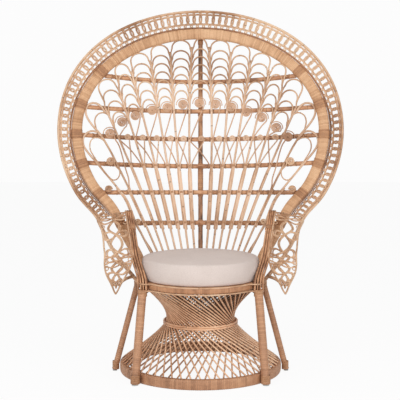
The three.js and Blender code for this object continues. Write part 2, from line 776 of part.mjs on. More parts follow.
function armPost() {
  const foot = polar(seatRingRadius + clearance + frontLegRadius, frontLegTopAngle, seatTop + clearance);
  const aroundRing = polar(1, frontLegTopAngle + 90, 0);
  const side = polar(seatRingRadius + postSideGap, postSideAngle, seatTop + cushionHeight);
  const canes = [];
  const spread = (postCaneCount - 1) / 2;
  for (let i = 0; i < postCaneCount; i++) {
    const along = (i - spread) * (2 * postCaneRadius - joinDepth);
    const low = foot.clone().addScaledVector(aroundRing, along);
    const high = armTopInner.clone().add(new THREE.Vector3(along * postTopShare, 0, 0));
    const start = low.clone().add(new THREE.Vector3(0, 0, 2 * postCaneRadius));
    const beside = side.clone().addScaledVector(aroundRing, along * (1 + postTopShare) / 2);
    const places = [low, start, beside, high];
    canes.push(sweepThrough(places, places.map(() => across.clone()), roundSection(postCaneRadius, 5)));
  }
  return join(canes);
}

// Holes of one cell of the belt, as shares of its width and length: four petals and an eye
const armCellShares = [
  [[0.18, 0.1], [0.82, 0.1], [0.6, 0.27], [0.4, 0.27]],
  [[0.9, 0.18], [0.9, 0.82], [0.73, 0.6], [0.73, 0.4]],
  [[0.82, 0.9], [0.18, 0.9], [0.4, 0.73], [0.6, 0.73]],
  [[0.1, 0.82], [0.1, 0.18], [0.27, 0.4], [0.27, 0.6]],
  [[0.5, 0.37], [0.63, 0.5], [0.5, 0.63], [0.37, 0.5]],
];
const armCellCount = 3;           // two before the fold, one after it
// Its edges at each half cell, as shares of the width there: hollow outside before the fold, a leaf after it
const armInnerEdgeShares = [0, 0, 0, 0, 0, -0.2, 0];
const armOuterEdgeShares = [1, 0.95, 0.93, 0.96, 1, 1.18, 1];
const armTipCellShares = [
  [[0.16, 0.1], [0.84, 0.1], [0.62, 0.28], [0.38, 0.28]],
  [[0.06, 0.2], [0.28, 0.37], [0.28, 0.5], [0.04, 0.56]],
  [[0.94, 0.2], [0.96, 0.56], [0.72, 0.5], [0.72, 0.37]],
  [[0.5, 0.36], [0.64, 0.48], [0.5, 0.62], [0.36, 0.48]],
];

// The belt runs down from the hoop, folds at the front and comes back under itself
function beltPlace(acrossShare, cells, lift) {
  const aside = across.clone().multiplyScalar(postCaneCount * postCaneRadius / 2 + armLaceGap);
  const lines = [[armTopInner.clone().add(aside), armTopOuter], [armFoldInner, armFoldOuter],
    [armTipInner, armTipOuter]];
  const panel = cells <= armCellCount - 1 ? 0 : 1;
  const share = panel === 0 ? cells / (armCellCount - 1) : cells - (armCellCount - 1);
  const [[a, b], [c, d]] = [lines[panel], lines[panel + 1]];
  const near = a.clone().lerp(b, acrossShare);
  const far = c.clone().lerp(d, acrossShare);
  const face = far.clone().sub(near).cross(b.clone().sub(a)).normalize();
  return near.lerp(far, share).addScaledVector(face, lift);
}

function armBelt() {
  const inner = [];
  const outer = [];
  for (let i = 0; i <= 2 * armCellCount; i++) {
    inner.push(new THREE.Vector2(armInnerEdgeShares[i], i / 2));
    outer.push(new THREE.Vector2(armOuterEdgeShares[i], i / 2));
  }
  const shape = new THREE.Shape([...outer, ...inner.reverse()]);
  for (let cell = 0; cell < armCellCount; cell++) {
    const holes = cell < armCellCount - 1 ? armCellShares : armTipCellShares;
    for (const hole of holes) {
      shape.holes.push(new THREE.Path(hole.map(([x, y]) => new THREE.Vector2(x, y + cell))));
    }
  }
  const geometry = bare(new THREE.ExtrudeGeometry(shape, { depth: 1, bevelEnabled: false }));
  const place = geometry.attributes.position;
  for (let i = 0; i < place.count; i++) {
    const at = beltPlace(place.getX(i), place.getY(i), (place.getZ(i) - 0.5) * armLaceThickness);
    place.setXYZ(i, at.x, at.y, at.z);
  }
  return geometry;
}

function armLace() {
  const braceFoot = polar(seatRingRadius + armBraceRadius + clearance, armBraceAngle, seatTop - seatRingHeight / 2);
  const middle = armBraceTop.clone().lerp(braceFoot, 0.5).addScaledVector(across, armBraceBow);
  const places = [armBraceTop, middle, braceFoot];
  const brace = sweepThrough(places, places.map(() => across.clone()), roundSection(armBraceRadius, 6));
  const [startAcross, startShare] = armReturnShares;
  const start = beltPlace(startAcross, armCellCount - 1 + startShare, 0);
  const returnCane = stick(start, braceFoot.clone().lerp(middle, armReturnShare * 2), armRimRadius);
  return join([armBelt(), brace, returnCane]);
}

const post = armPost();
const lace = armLace();
part('arm_post_right', post, honeyCane);
part('arm_post_left', mirrored(post), honeyCane);
part('arm_lace_right', lace, honeyCane);
part('arm_lace_left', mirrored(lace), honeyCane);

// The origin goes under the middle of the chair's outline
const chairBox = new THREE.Box3().setFromObject(chair);
chair.position.y = -(chairBox.min.y + chairBox.max.y) / 2;

export default chair;
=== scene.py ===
# Looks of a rattan peacock chair: canes, wraps, lace arms and a canvas cushion round the CAD frame.
# Metres, +Z up, the sitter faces -Y.
import math

import bpy
import numpy as np
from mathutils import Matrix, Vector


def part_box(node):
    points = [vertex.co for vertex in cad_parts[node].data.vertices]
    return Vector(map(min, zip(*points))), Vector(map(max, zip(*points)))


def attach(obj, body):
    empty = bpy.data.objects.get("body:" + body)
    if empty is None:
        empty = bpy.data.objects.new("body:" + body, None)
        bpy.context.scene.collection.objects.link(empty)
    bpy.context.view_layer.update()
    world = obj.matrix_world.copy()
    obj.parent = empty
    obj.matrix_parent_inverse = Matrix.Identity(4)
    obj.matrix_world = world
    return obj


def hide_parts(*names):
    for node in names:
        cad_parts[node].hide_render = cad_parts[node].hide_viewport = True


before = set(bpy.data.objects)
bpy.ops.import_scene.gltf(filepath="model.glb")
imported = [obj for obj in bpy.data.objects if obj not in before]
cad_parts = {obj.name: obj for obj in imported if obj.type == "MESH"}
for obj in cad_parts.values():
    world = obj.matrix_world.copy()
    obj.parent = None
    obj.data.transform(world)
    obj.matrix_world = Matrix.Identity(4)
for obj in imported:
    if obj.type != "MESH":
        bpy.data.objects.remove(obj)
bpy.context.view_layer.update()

MM = 0.001


def node_box(name):
    """Lowest and highest corner of a CAD node as two arrays."""
    low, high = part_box(name)
    return np.array(low, float), np.array(high, float)


# Camera, light and floor

ring_low, ring_high = node_box("seat_ring")
SEAT_Y = (ring_low[1] + ring_high[1]) / 2
SEAT_TOP = ring_high[2]
SEAT_BOTTOM = ring_low[2]
SEAT_RADIUS = (ring_high[0] - ring_low[0]) / 2

CAMERA_TILT = 5.5
CAMERA_AWAY = 4.0
CAMERA_RISE = 0.68


def add_object(name, data):
    """New object of the data in the scene, at the origin."""
    added = bpy.data.objects.new(name, data)
    bpy.context.scene.collection.objects.link(added)
    return added


def make_camera():
    """Camera before the seat and over its top, tipped down."""
    lens = bpy.data.cameras.new("photo_camera")
    lens.lens = 95.8
    lens.sensor_width = 36
    lens.shift_x = -0.00125
    eye = add_object("photo_camera", lens)
    eye.location = (0, SEAT_Y - CAMERA_AWAY, SEAT_TOP + CAMERA_RISE)
    eye.rotation_euler = (math.radians(90 - CAMERA_TILT), 0, 0)
    bpy.context.scene.camera = eye


def area_light(name, place, aim, size, power):
    """Square soft box at place, turned to aim."""
    lamp = bpy.data.lights.new(name, "AREA")
    lamp.size = size
    lamp.energy = power
    holder = add_object(name, lamp)
    holder.location = place
    away = np.array(place, float) - np.array(aim, float)
    flat = math.hypot(away[0], away[1])
    holder.rotation_euler = (math.atan2(flat, away[2]), 0, math.atan2(away[0], -away[1]))


make_camera()
area_light("key_box", (-1.7, -3.4, 2.3), (0, 0, 0.7), 2.2, 64)
area_light("fill_box", (2.2, -3.2, 1.7), (0, 0, 0.6), 2.4, 46)
area_light("top_box", (0, 0.2, 3.6), (0, 0, 0.6), 2.6, 10)

# Shader nodes as sums


class Wire:
    """One output of a node, which adds Math nodes when it is used in a sum."""

    def __init__(self, finish, socket):
        self.finish = finish
        self.socket = socket

    def maths(self, operation, *values):
        return self.finish.add("ShaderNodeMath", {"operation": operation}, dict(enumerate(values)))

    def __add__(self, other):
        return self.maths("ADD", self, other)

    def __radd__(self, other):
        return self.maths("ADD", other, self)

    def __sub__(self, other):
        return self.maths("SUBTRACT", self, other)

    def __rsub__(self, other):
        return self.maths("SUBTRACT", other, self)

    def __mul__(self, other):
        return self.maths("MULTIPLY", self, other)

    def __rmul__(self, other):
        return self.maths("MULTIPLY", other, self)

    def __truediv__(self, other):
        return self.maths("DIVIDE", self, other)


    def __pow__(self, other):
        return self.maths("POWER", self, other)


    def __gt__(self, other):
        return self.maths("GREATER_THAN", self, other)


    def floor(self):
        return self.maths("FLOOR", self)

    def fraction(self):
        return self.maths("FRACT", self)

    def size(self):
        return self.maths("ABSOLUTE", self)

    def sine(self):
        return self.maths("SINE", self)


def tone(colour):
    """A screen colour from 0 to 255 as linear values."""
    shares = np.array(colour) / 255
    low = shares / 12.92
    high = ((shares + 0.055) / 1.055) ** 2.4
    return tuple(float(value) for value in np.where(shares <= 0.04045, low, high))


def shade(colour, share):
    """A share of a screen colour's light, as linear values."""
    return tuple(share * value for value in tone(colour))


class Finish:
    """Nodes of a material or a world. add() makes any node: its settings first, then the values or links of
    its sockets."""

    def __init__(self, owner):
        self.owner = owner
        owner.use_nodes = True
        self.tree = owner.node_tree

    def add(self, kind, settings=None, sockets=None, out=0):
        node = self.tree.nodes.new(kind)
        for key, value in (settings or {}).items():
            setattr(node, key, value)
        for key, value in (sockets or {}).items():
            self.feed(node.inputs[key], value)
        return Wire(self, node.outputs[out])

    def feed(self, socket, value):
        """Links a wire to a socket, or sets the socket's value."""
        if isinstance(value, Wire):
            self.tree.links.new(value.socket, socket)
        else:
            socket.default_value = value

    def part_of(self, wire, axis):
        return self.add("ShaderNodeSeparateXYZ", None, {0: wire}, axis)

    def vector(self, x, y):
        return self.add("ShaderNodeCombineXYZ", None, {0: x, 1: y})

    def noise(self, place, scale, detail=2.0):
        return self.add("ShaderNodeTexNoise", None, {"Vector": place, "Scale": scale, "Detail": detail})

    def random(self, number):
        return self.add("ShaderNodeTexWhiteNoise", {"noise_dimensions": "1D"}, {"W": number})

    def spot(self):
        """Place on the object in metres."""
        return self.add("ShaderNodeTexCoord", None, None, 3)

    def lengths(self):
        """Metres along a cane and metres around it."""
        uv = self.add("ShaderNodeUVMap", {"uv_map": "UVMap"})
        return self.part_of(uv, 0), self.part_of(uv, 1)

    def streaks(self, along, around):
        """Fibres: noise drawn out along the cane."""
        return self.noise(self.vector(along * 9.0, around * 420.0), 1.0, 3.0)

    def seen(self):
        """One for rays that reach the camera straight, mirrored or through glass."""
        straight, mirrored, through = (self.add("ShaderNodeLightPath", None, None, out) for out in (0, 3, 6))
        return straight.maths("MAXIMUM", straight.maths("MAXIMUM", straight, mirrored), through)

    def ramp(self, share, *stops):
        """Colour that runs through the stops, each a place and a screen colour."""
        wire = self.add("ShaderNodeValToRGB", None, {0: share})
        elements = wire.socket.node.color_ramp.elements
        while len(elements) < len(stops):
            elements.new(0.5)
        for element, (place, colour) in zip(elements, stops):
            element.position = place
            element.color = (*tone(colour), 1)
        return wire

    def blend(self, share, first, second):
        """Colour mix; first is a wire and second a linear colour."""
        sockets = {0: share, 6: first, 7: (*second, 1)}
        return self.add("ShaderNodeMix", {"data_type": "RGBA", "blend_type": "MIX"}, sockets, 2)

    def wear(self, colour, roughness, height=None, distance=0.001, strength=0.5, **fixed):
        """Feeds the shader and returns the material."""
        inputs = self.tree.nodes["Principled BSDF"].inputs
        self.feed(inputs["Base Color"], colour)
        self.feed(inputs["Roughness"], roughness)
        if height is not None:
            sockets = {"Height": height, "Distance": distance, "Strength": strength}
            self.feed(inputs["Normal"], self.add("ShaderNodeBump", None, sockets))
        for key, value in fixed.items():
            inputs[key.replace("_", " ")].default_value = value
        return self.owner


def new_finish(name):
    return Finish(bpy.data.materials.new(name))


def peeled_cane(name, light, middle, dark, node_gap=0.24, mottle=1.0):
    """Cane with streaks along it, darker rings at its nodes and a tone that drifts over the chair."""
    finish = new_finish(name)
    along, around = finish.lengths()
    streak = finish.streaks(along, around)
    drift = finish.noise(finish.spot(), 5.0)
    blotch = finish.noise(finish.vector(along * 30.0, around * 40.0), 1.0)
    share = (streak - 0.5) * 1.1 + (drift - 0.5) * 1.6 + (blotch - 0.5) * mottle + 0.5
    colour = finish.ramp(share, (0.15, dark), (0.5, middle), (0.85, light))
    wobble = finish.noise(finish.vector(around * 60.0, along), 1.0, 1.0) * 0.01
    edge = ((along / node_gap + wobble).fraction() - 0.5).size() > 0.492
    colour = finish.blend(edge * 0.55, colour, shade(dark, 0.35))
    rough = 0.42 + 0.22 * streak
    return finish.wear(colour, rough, streak + edge * 0.6, 0.0006, Coat_Weight=0.12, Coat_Roughness=0.35)


def low_cane(name, light, middle, dark, upper, lower):
    """Peeled cane of the woven base, browner towards the seat, where little light reaches it."""
    finish = new_finish(name)
    streak = finish.streaks(*finish.lengths())
    spot = finish.spot()
    share = (streak - 0.5) * 1.1 + (finish.noise(spot, 6.0) - 0.5) * 1.4 + 0.5
    colour = finish.ramp(share, (0.15, dark), (0.5, middle), (0.85, light))
    sockets = {0: finish.part_of(spot, 2), 1: lower, 2: upper, 3: 0.0, 4: 0.85}
    colour = finish.blend(finish.add("ShaderNodeMapRange", None, sockets), colour, shade(dark, 0.35))
    return finish.wear(colour, 0.45 + 0.2 * streak, streak, 0.0006, Coat_Weight=0.1, Coat_Roughness=0.35)


def wrapped_strip(name, light, middle, dark, pitch, seam=0.1):
    """Flat cane wound round a pole: strips side by side with dark seams, and fibres along each strip."""
    finish = new_finish(name)
    along, around = finish.lengths()
    sway = (finish.noise(finish.vector(along * 14.0, around * 30.0), 1.0, 1.0) - 0.5) * 0.35
    count = along / pitch + sway
    strip = finish.random(count.floor())
    place = (count.fraction() - 0.5).size() * 2.0
    gap = place > (1.0 - seam)
    fibre = finish.noise(finish.vector(along * 2400.0, around * 30.0), 1.0)
    drift = finish.noise(finish.spot(), 7.0, 3.0)
    stain = finish.noise(finish.vector(along * 40.0, around * 55.0), 1.0, 3.0)
    share = (strip - 0.5) * 0.3 + (fibre - 0.5) * 0.5 + (drift - 0.5) * 0.9 + (stain - 0.5) * 0.5 + 0.55
    colour = finish.ramp(share, (0.1, dark), (0.5, middle), (0.9, light))
    odd = finish.random(count.floor() + 71.0) > 0.96
    colour = finish.blend(odd * 0.4, colour, tone(dark))
    broken = finish.noise(finish.vector(count.floor() * 3.1, around * 90.0), 1.0, 1.0) > 0.5
    colour = finish.blend(gap * broken * 0.55, colour, shade(dark, 0.4))
    height = (1.0 - place * place) + fibre * 0.3
    return finish.wear(colour, 0.46 + 0.2 * fibre, height, 0.0009, 0.6, Coat_Weight=0.1, Coat_Roughness=0.4)


def canvas_cloth():
    """Plain beige canvas: two thread directions as fine waves, with slubs and a faint drift."""
    finish = new_finish("beige_canvas")
    spot = finish.spot()
    threads = 2 * math.pi / 0.0016
    waves = [(finish.part_of(spot, axis) * threads).sine() for axis in range(3)]
    weave = waves[0] * waves[1] + waves[2] * (waves[0] + waves[1]) * 0.5
    slub = finish.noise(spot, 320.0, 3.0)
    drift = finish.noise(spot, 9.0, 3.0)
    share = 0.5 + (slub - 0.5) * 0.7 + (drift - 0.5) * 0.5 + weave * 0.06
    colour = finish.ramp(share, (0.2, (208, 192, 184)), (0.55, (222, 207, 199)), (0.9, (232, 219, 212)))
    height = weave * 0.35 + slub
    return finish.wear(colour, 0.92, height, 0.0007, 0.35, Sheen_Weight=0.15, Sheen_Roughness=0.5)


def glide_plastic():
    """Grey moulded plastic with a fine grain and scuffs."""
    finish = new_finish("glide_plastic")
    spot = finish.spot()
    grain = finish.noise(spot, 900.0)
    scuff = finish.noise(spot, 120.0, 3.0)
    colour = finish.ramp(scuff, (0.3, (150, 150, 148)), (0.7, (196, 196, 192)))
    return finish.wear(colour, 0.4 + 0.2 * scuff, grain, 0.0003, 0.3)


def slat_deck():
    """Cane slats side by side that close the seat, seen under the lifted cushion."""
    finish = new_finish("slat_deck")
    spot = finish.spot()
    across = finish.part_of(spot, 0) / 0.009
    slat = finish.random(across.floor())
    place = (across.fraction() - 0.5).size() * 2.0
    fibre = finish.noise(finish.vector(across * 18.0, finish.part_of(spot, 1) * 12.0), 1.0, 3.0)
    colour = finish.ramp(slat * 0.5 + fibre * 0.6, (0.2, (150, 104, 66)), (0.8, (214, 168, 122)))
    colour = finish.blend((place > 0.86) * 0.7, colour, tone((70, 45, 26)))
    return finish.wear(colour, 0.5 + 0.2 * fibre, 1.0 - place ** 4, 0.001, 0.6)


# Screen colours, light, middle and dark; then a cane's node spacing and mottle, or a strip's pitch and seam
HONEY = peeled_cane("honey_cane", (234, 200, 166), (212, 170, 134), (160, 114, 80))
RIB = peeled_cane("rib_cane", (240, 208, 180), (220, 182, 150), (176, 134, 102), 0.31, 0.7)
SPIRAL = peeled_cane("spiral_cane", (226, 184, 150), (206, 162, 128), (164, 120, 90), 0.2)
BUNDLE_CANE = peeled_cane("bundle_cane", (226, 176, 134), (204, 152, 112), (150, 104, 74), 0.2, 1.4)
# Painted shade: the bundle's back canes are dark brown to stand for the deep shade in the gaps between its
# front canes
SHADED_BUNDLE_CANE = peeled_cane("shaded_bundle_cane", (150, 104, 72), (116, 76, 50), (80, 50, 32), 0.2, 1.4)
RAIL = peeled_cane("rail_cane", (222, 172, 130), (200, 144, 104), (134, 88, 56), 0.17, 1.6)
POLE = peeled_cane("pole_cane", (192, 142, 102), (158, 110, 74), (98, 66, 44), 0.15, 1.8)
EDGE = peeled_cane("edge_cane", (184, 132, 94), (154, 106, 72), (108, 70, 46), 0.3, 1.2)
# Painted shade: the inner weave's colours are darker than the outer weave's, and low_cane darkens them
# further towards the seat
INNER_WEAVE = low_cane("inner_weave", (222, 182, 146), (198, 152, 116), (150, 104, 72), 0.20, 0.08)
OUTER_WEAVE = peeled_cane("outer_weave", (248, 208, 172), (230, 182, 144), (180, 128, 92), 0.27, 0.8)
WRAP = wrapped_strip("hoop_wrap", (232, 188, 146), (214, 166, 124), (172, 122, 82), 0.0058)
RING_WRAP = wrapped_strip("ring_wrap", (208, 156, 116), (190, 136, 98), (140, 94, 62), 0.0065, 0.14)
LEG_WRAP = wrapped_strip("leg_wrap", (206, 156, 118), (182, 132, 98), (132, 92, 64), 0.0075, 0.13)
BINDING = wrapped_strip("binding", (206, 158, 118), (184, 134, 96), (136, 92, 60), 0.0035, 0.16)
DARK_BINDING = wrapped_strip("dark_binding", (204, 154, 112), (184, 132, 92), (130, 86, 56), 0.0035, 0.18)
CANVAS = canvas_cloth()
PLASTIC = glide_plastic()
DECK = slat_deck()

FLOOR_REACH = 9.0
FLOOR_LEVEL = -0.0004
FLOOR_GLOW = 0.925
SKY_LIGHT = 0.42
SKY_WHITE = 0.975


def floor_and_sky():
    """A pale floor that keeps a soft shadow, and a white surround for what the camera sees."""
    signs = ((-1, -1), (1, -1), (1, 1), (-1, 1))
    corners = [(x * FLOOR_REACH, y * FLOOR_REACH, FLOOR_LEVEL) for x, y in signs]
    mesh = bpy.data.meshes.new("studio_floor")
    mesh.from_pydata(corners, [], [(0, 1, 2, 3)])
    plate = add_object("studio_floor", mesh)
    finish = new_finish("studio_floor")
    mesh.materials.append(finish.wear((0.9, 0.9, 0.9, 1), 0.9))
    matt = Wire(finish, finish.tree.nodes["Principled BSDF"].outputs[0])
    glow = finish.add("ShaderNodeEmission", None, {"Color": (1, 1, 1, 1), "Strength": 1.0})
    mixed = finish.add("ShaderNodeMixShader", None, {0: finish.seen() * FLOOR_GLOW, 1: matt, 2: glow})
    finish.feed(finish.tree.nodes["Material Output"].inputs["Surface"], mixed)
    sky = Finish(bpy.data.worlds.new("studio_sky"))
    bpy.context.scene.world = sky.owner
    plain = sky.tree.nodes["Background"]
    plain.inputs["Color"].default_value = (1, 1, 1, 1)
    plain.inputs["Strength"].default_value = SKY_LIGHT
    white = sky.add("ShaderNodeBackground", None, {"Color": (*(SKY_WHITE,) * 3, 1), "Strength": 1.0})
    choice = sky.add("ShaderNodeMixShader", None, {0: sky.seen(), 1: Wire(sky, plain.outputs[0]), 2: white})
    sky.feed(sky.tree.nodes["World Output"].inputs["Surface"], choice)


floor_and_sky()
bpy.context.scene.view_settings.view_transform = "Standard"


# Paths and sweeps


def flow(points, count, closed=False):
    """Smooth line through points: Catmull-Rom pieces, then evenly spaced places along it."""
    points = np.array(points, float)
    if closed:
        padded = np.vstack([points[-1], points, points[0], points[1]])
    else:
        padded = np.vstack([2 * points[0] - points[1], points, 2 * points[-1] - points[-2]])
    t = np.linspace(0, 1, 13)[:-1][:, None]
    pieces = []
    for a, b, c, d in zip(padded[:-3], padded[1:-2], padded[2:-1], padded[3:]):
        bend = (2 * a - 5 * b + 4 * c - d) * t ** 2 + (3 * b - a - 3 * c + d) * t ** 3
        pieces.append(0.5 * (2 * b + (c - a) * t + bend))
    line = np.vstack(pieces + [padded[-2][None]])
    return even(line, count)


def even(line, count):
    """The same line as evenly spaced places."""
    length = np.concatenate([[0], np.cumsum(np.linalg.norm(np.diff(line, axis=0), axis=1))])
    where = np.linspace(0, length[-1], count)
    return np.stack([np.interp(where, length, line[:, axis]) for axis in range(line.shape[1])], 1)


def round_section(sides):
    """Unit circle as pairs (towards the face, across)."""
    turn = np.arange(sides) * 2 * np.pi / sides
    return np.stack([np.cos(turn), np.sin(turn)], 1)


def band_section(half_thickness, half_width, sides=20, power=0.5):
    """Rounded box: cosine and sine, each raised to a power below one."""
    unit = round_section(sides)
    bulged = np.sign(unit) * np.abs(unit) ** power
    return bulged * [half_thickness, half_width]


def sweep(path, face, section, closed=False, start=0.0):
    """Carries a section along a path. Each corner is path + section x * face + section y * across, where the
    face is made square to the path. Returns corners, faces, (length along, length around) for each corner of
    a face, and end caps."""
    path = np.asarray(path, float)
    n = len(path)
    section = np.asarray(section, float)
    if section.ndim == 2:
        section = np.broadcast_to(section, (n, *section.shape))
    m = section.shape[1]
    if closed:
        tangent = np.roll(path, -1, 0) - np.roll(path, 1, 0)
    else:
        tangent = np.gradient(path, axis=0)
    tangent /= np.linalg.norm(tangent, axis=1)[:, None]
    face = np.broadcast_to(np.asarray(face, float), path.shape)
    front = face - (face * tangent).sum(1)[:, None] * tangent
    front = front / np.linalg.norm(front, axis=1)[:, None]
    side = np.cross(tangent, front)
    corners = path[:, None] + section[..., :1] * front[:, None] + section[..., 1:] * side[:, None]
    rows = n if closed else n - 1
    i = np.arange(rows)[:, None]
    j = np.arange(m)[None]
    after = (i + 1) % n
    beside = (j + 1) % m
    quads = np.stack(np.broadcast_arrays(i * m + j, after * m + j, after * m + beside, i * m + beside), -1)
    step = np.linalg.norm(np.roll(path, -1, 0) - path, axis=1)
    run = start + np.concatenate([[0], np.cumsum(step)])
    ring = np.linalg.norm(np.roll(section[0], -1, 0) - section[0], axis=1)
    turn = np.concatenate([[0], np.cumsum(ring)])
    u = np.broadcast_arrays(run[i], run[i + 1], run[i + 1], run[i], j)[:4]
    v = np.broadcast_arrays(turn[j], turn[j], turn[j + 1], turn[j + 1], i)[:4]
    uv = np.stack([np.stack(u, -1), np.stack(v, -1)], -1).reshape(-1, 4, 2)
    caps = []
    if not closed:
        caps = [np.arange(m)[::-1], (n - 1) * m + np.arange(m)]
    return corners.reshape(-1, 3), quads.reshape(-1, 4)[:, ::-1], uv[:, ::-1], caps


random_start = np.random.default_rng(7)


def cane(path, radius, face=(0, -1, 0), sides=6, closed=False):
    """Round cane along a path; radius is a number or one for each place."""
    thick = np.broadcast_to(np.asarray(radius, float), (len(path),))[:, None, None]
    return sweep(path, face, round_section(sides)[None] * thick, closed, random_start.uniform(0, 3))


def make_piece(name, sweeps, finish, slot, *nodes):
    """One mesh object from sweeps, riding on the frame and standing for CAD nodes. Caps are shaded flat."""
    corners, quads, uvs, caps = [], [], [], []
    base = 0
    for points, faces, uv, ends in sweeps:
        corners.append(points)
        quads.append(faces + base)
        uvs.append(uv)
        caps += [(end + base).tolist() for end in ends]
        base += len(points)
    quads = np.vstack(quads)
    mesh = bpy.data.meshes.new(name)
    mesh.from_pydata(np.vstack(corners).tolist(), [], quads.tolist() + caps)
    cap_corners = np.zeros((sum(len(cap) for cap in caps), 2))
    flat = np.vstack([np.vstack(uvs).reshape(-1, 2), cap_corners])
    mesh.uv_layers.new(name="UVMap").data.foreach_set("uv", flat.ravel().astype(np.float32))
    mesh.polygons.foreach_set("use_smooth", np.arange(len(mesh.polygons)) < len(quads))
    mesh.materials.append(finish)
    mesh.update()
    piece = add_object(name, mesh)
    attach(piece, "frame")
    if nodes:
        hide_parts(*nodes)


# The dished back, as in the CAD model: u across, v up the back, w towards the sitter

RIB_RADIUS = 4 * MM
CLEAR = 0.4 * MM
LEAN = math.radians(12)
UP_BACK = np.array([0, math.sin(LEAN), math.cos(LEAN)])
FORWARD = np.array([0, -math.cos(LEAN), math.sin(LEAN)])
FOOT_REACH = SEAT_RADIUS + RIB_RADIUS + 2 * CLEAR
BACK_FOOT = np.array([0, SEAT_Y + FOOT_REACH, (SEAT_TOP + SEAT_BOTTOM) / 2])
HALF_WIDTH = 0.496
WIDE_HEIGHT = 0.558
UPPER_RISE = 0.417
LOWER_DROP = 0.449
BACK_HEIGHT = WIDE_HEIGHT + UPPER_RISE
BLEND_HEIGHT = 0.424
TOP_BEND = 0.086 / HALF_WIDTH ** 2
SEAT_BEND = 1.05 / (2 * FOOT_REACH)


def bend_at(v):
    """Curve of the back across: a top value, and more of it by a square below the blend height."""
    share = np.maximum(0, 1 - v / BLEND_HEIGHT)
    return TOP_BEND + (SEAT_BEND - TOP_BEND) * share ** 2


def dish_face(u, v):
    """Unit direction square to the dish, towards the sitter."""
    u, v = np.broadcast_arrays(np.asarray(u, float), np.asarray(v, float))
    share = np.maximum(0, 1 - v / BLEND_HEIGHT)
    slope = -2 * (SEAT_BEND - TOP_BEND) * share / BLEND_HEIGHT
    sideways = (2 * bend_at(v) * u)[..., None] * np.array([1.0, 0, 0])
    normal = FORWARD - sideways - (slope * u * u)[..., None] * UP_BACK
    return normal / np.linalg.norm(normal, axis=-1, keepdims=True)


def on_dish(u, v, w=0.0):
    """Foot + u across + v up + bend * u squared forward + w along the dish's own face."""
    u, v, w = np.broadcast_arrays(np.asarray(u, float), np.asarray(v, float), np.asarray(w, float))
    forward = (bend_at(v) * u * u)[..., None] * FORWARD
    place = BACK_FOOT + u[..., None] * np.array([1.0, 0, 0]) + v[..., None] * UP_BACK + forward
    return place + w[..., None] * dish_face(u, v)


def dish_cane(uv, radius, w=0.0, sides=6, closed=False, count=None):
    """Cane whose line is given by (u, v) on the dish, w off its face."""
    uv = np.asarray(uv, float)
    if count:
        uv = flow(uv, count, closed)
        if closed:
            uv = uv[:-1]
    return cane(on_dish(uv[:, 0], uv[:, 1], w), radius, dish_face(uv[:, 0], uv[:, 1]), sides, closed)


HOOP_FOOT = (0.230, -0.030)
FOOT_STAND = 0.0144  # from the seat ring's outside to the middle of the hoop's foot
FOOT_SHARES = np.array([[0.447, 0.531], [0.235, 0.369], [0.1, 0.225], [0, 0]])
DRAWN_SHARE = 0.14


def hoop_corners():
    """Two half ellipses at the sides of the top, and feet that come down to the seat ring."""
    down = np.radians(np.arange(90, -48, -15))
    rise = np.where(down > 0, UPPER_RISE, LOWER_DROP)
    half = np.stack([HALF_WIDTH * np.cos(down), WIDE_HEIGHT + rise * np.sin(down)], 1)
    foot = np.array(HOOP_FOOT)
    half = np.vstack([half, foot + (half[-1] - foot) * FOOT_SHARES])
    left = half[1:][::-1] * [-1, 1]
    return np.vstack([left, half])


HOOP_LINE = flow(hoop_corners(), 1600)


def beside_hoop(share, offset=0.0):
    """Place at a share of the hoop's length, offset outwards from its centre line."""
    where = np.asarray(share, float) * (len(HOOP_LINE) - 1)
    index = np.arange(len(HOOP_LINE))
    slope = np.gradient(HOOP_LINE, axis=0)
    slope /= np.linalg.norm(slope, axis=1)[:, None]
    place = np.stack([np.interp(where, index, HOOP_LINE[:, axis]) for axis in range(2)], -1)
    along = np.stack([np.interp(where, index, slope[:, axis]) for axis in range(2)], -1)
    out = np.stack([-along[..., 1], along[..., 0]], -1)
    return place + out * np.asarray(offset, float)[..., None]


HOOP_LENGTH = float(np.linalg.norm(np.diff(HOOP_LINE, axis=0), axis=1).sum())
foot_place = on_dish(*HOOP_FOOT)
foot_out = np.array([foot_place[0], foot_place[1] - SEAT_Y, 0])
foot_room = np.linalg.norm(foot_out) - SEAT_RADIUS - FOOT_STAND
FOOT_INSET = -foot_room / (foot_out / np.linalg.norm(foot_out) @ dish_face(*HOOP_FOOT))


def hoop_forward(share):
    """How far the hoop's feet are drawn in to the seat ring."""
    from_foot = np.minimum(share, 1 - share) * 2
    return FOOT_INSET * np.maximum(0, 1 - from_foot / DRAWN_SHARE)


def hoop_path(share, offset=0.0, w=0.0):
    """Line beside the hoop, and the dish's face along it."""
    uv = beside_hoop(share, offset)
    middle = beside_hoop(share)
    return on_dish(uv[:, 0], uv[:, 1], hoop_forward(share) + w), dish_face(middle[:, 0], middle[:, 1])


# Hoop: a round-edged band wound with flat cane

HOOP_HALF = (0.0115, 0.0210)
HOOP_OFFSET = -0.0012
HOOP_STRIP = 0.0058
PLACES_PER_STRIP = 4


def full_turn(count):
    """Angles round a full turn, without the one that closes it."""
    return np.linspace(0, 2 * np.pi, count, endpoint=False)


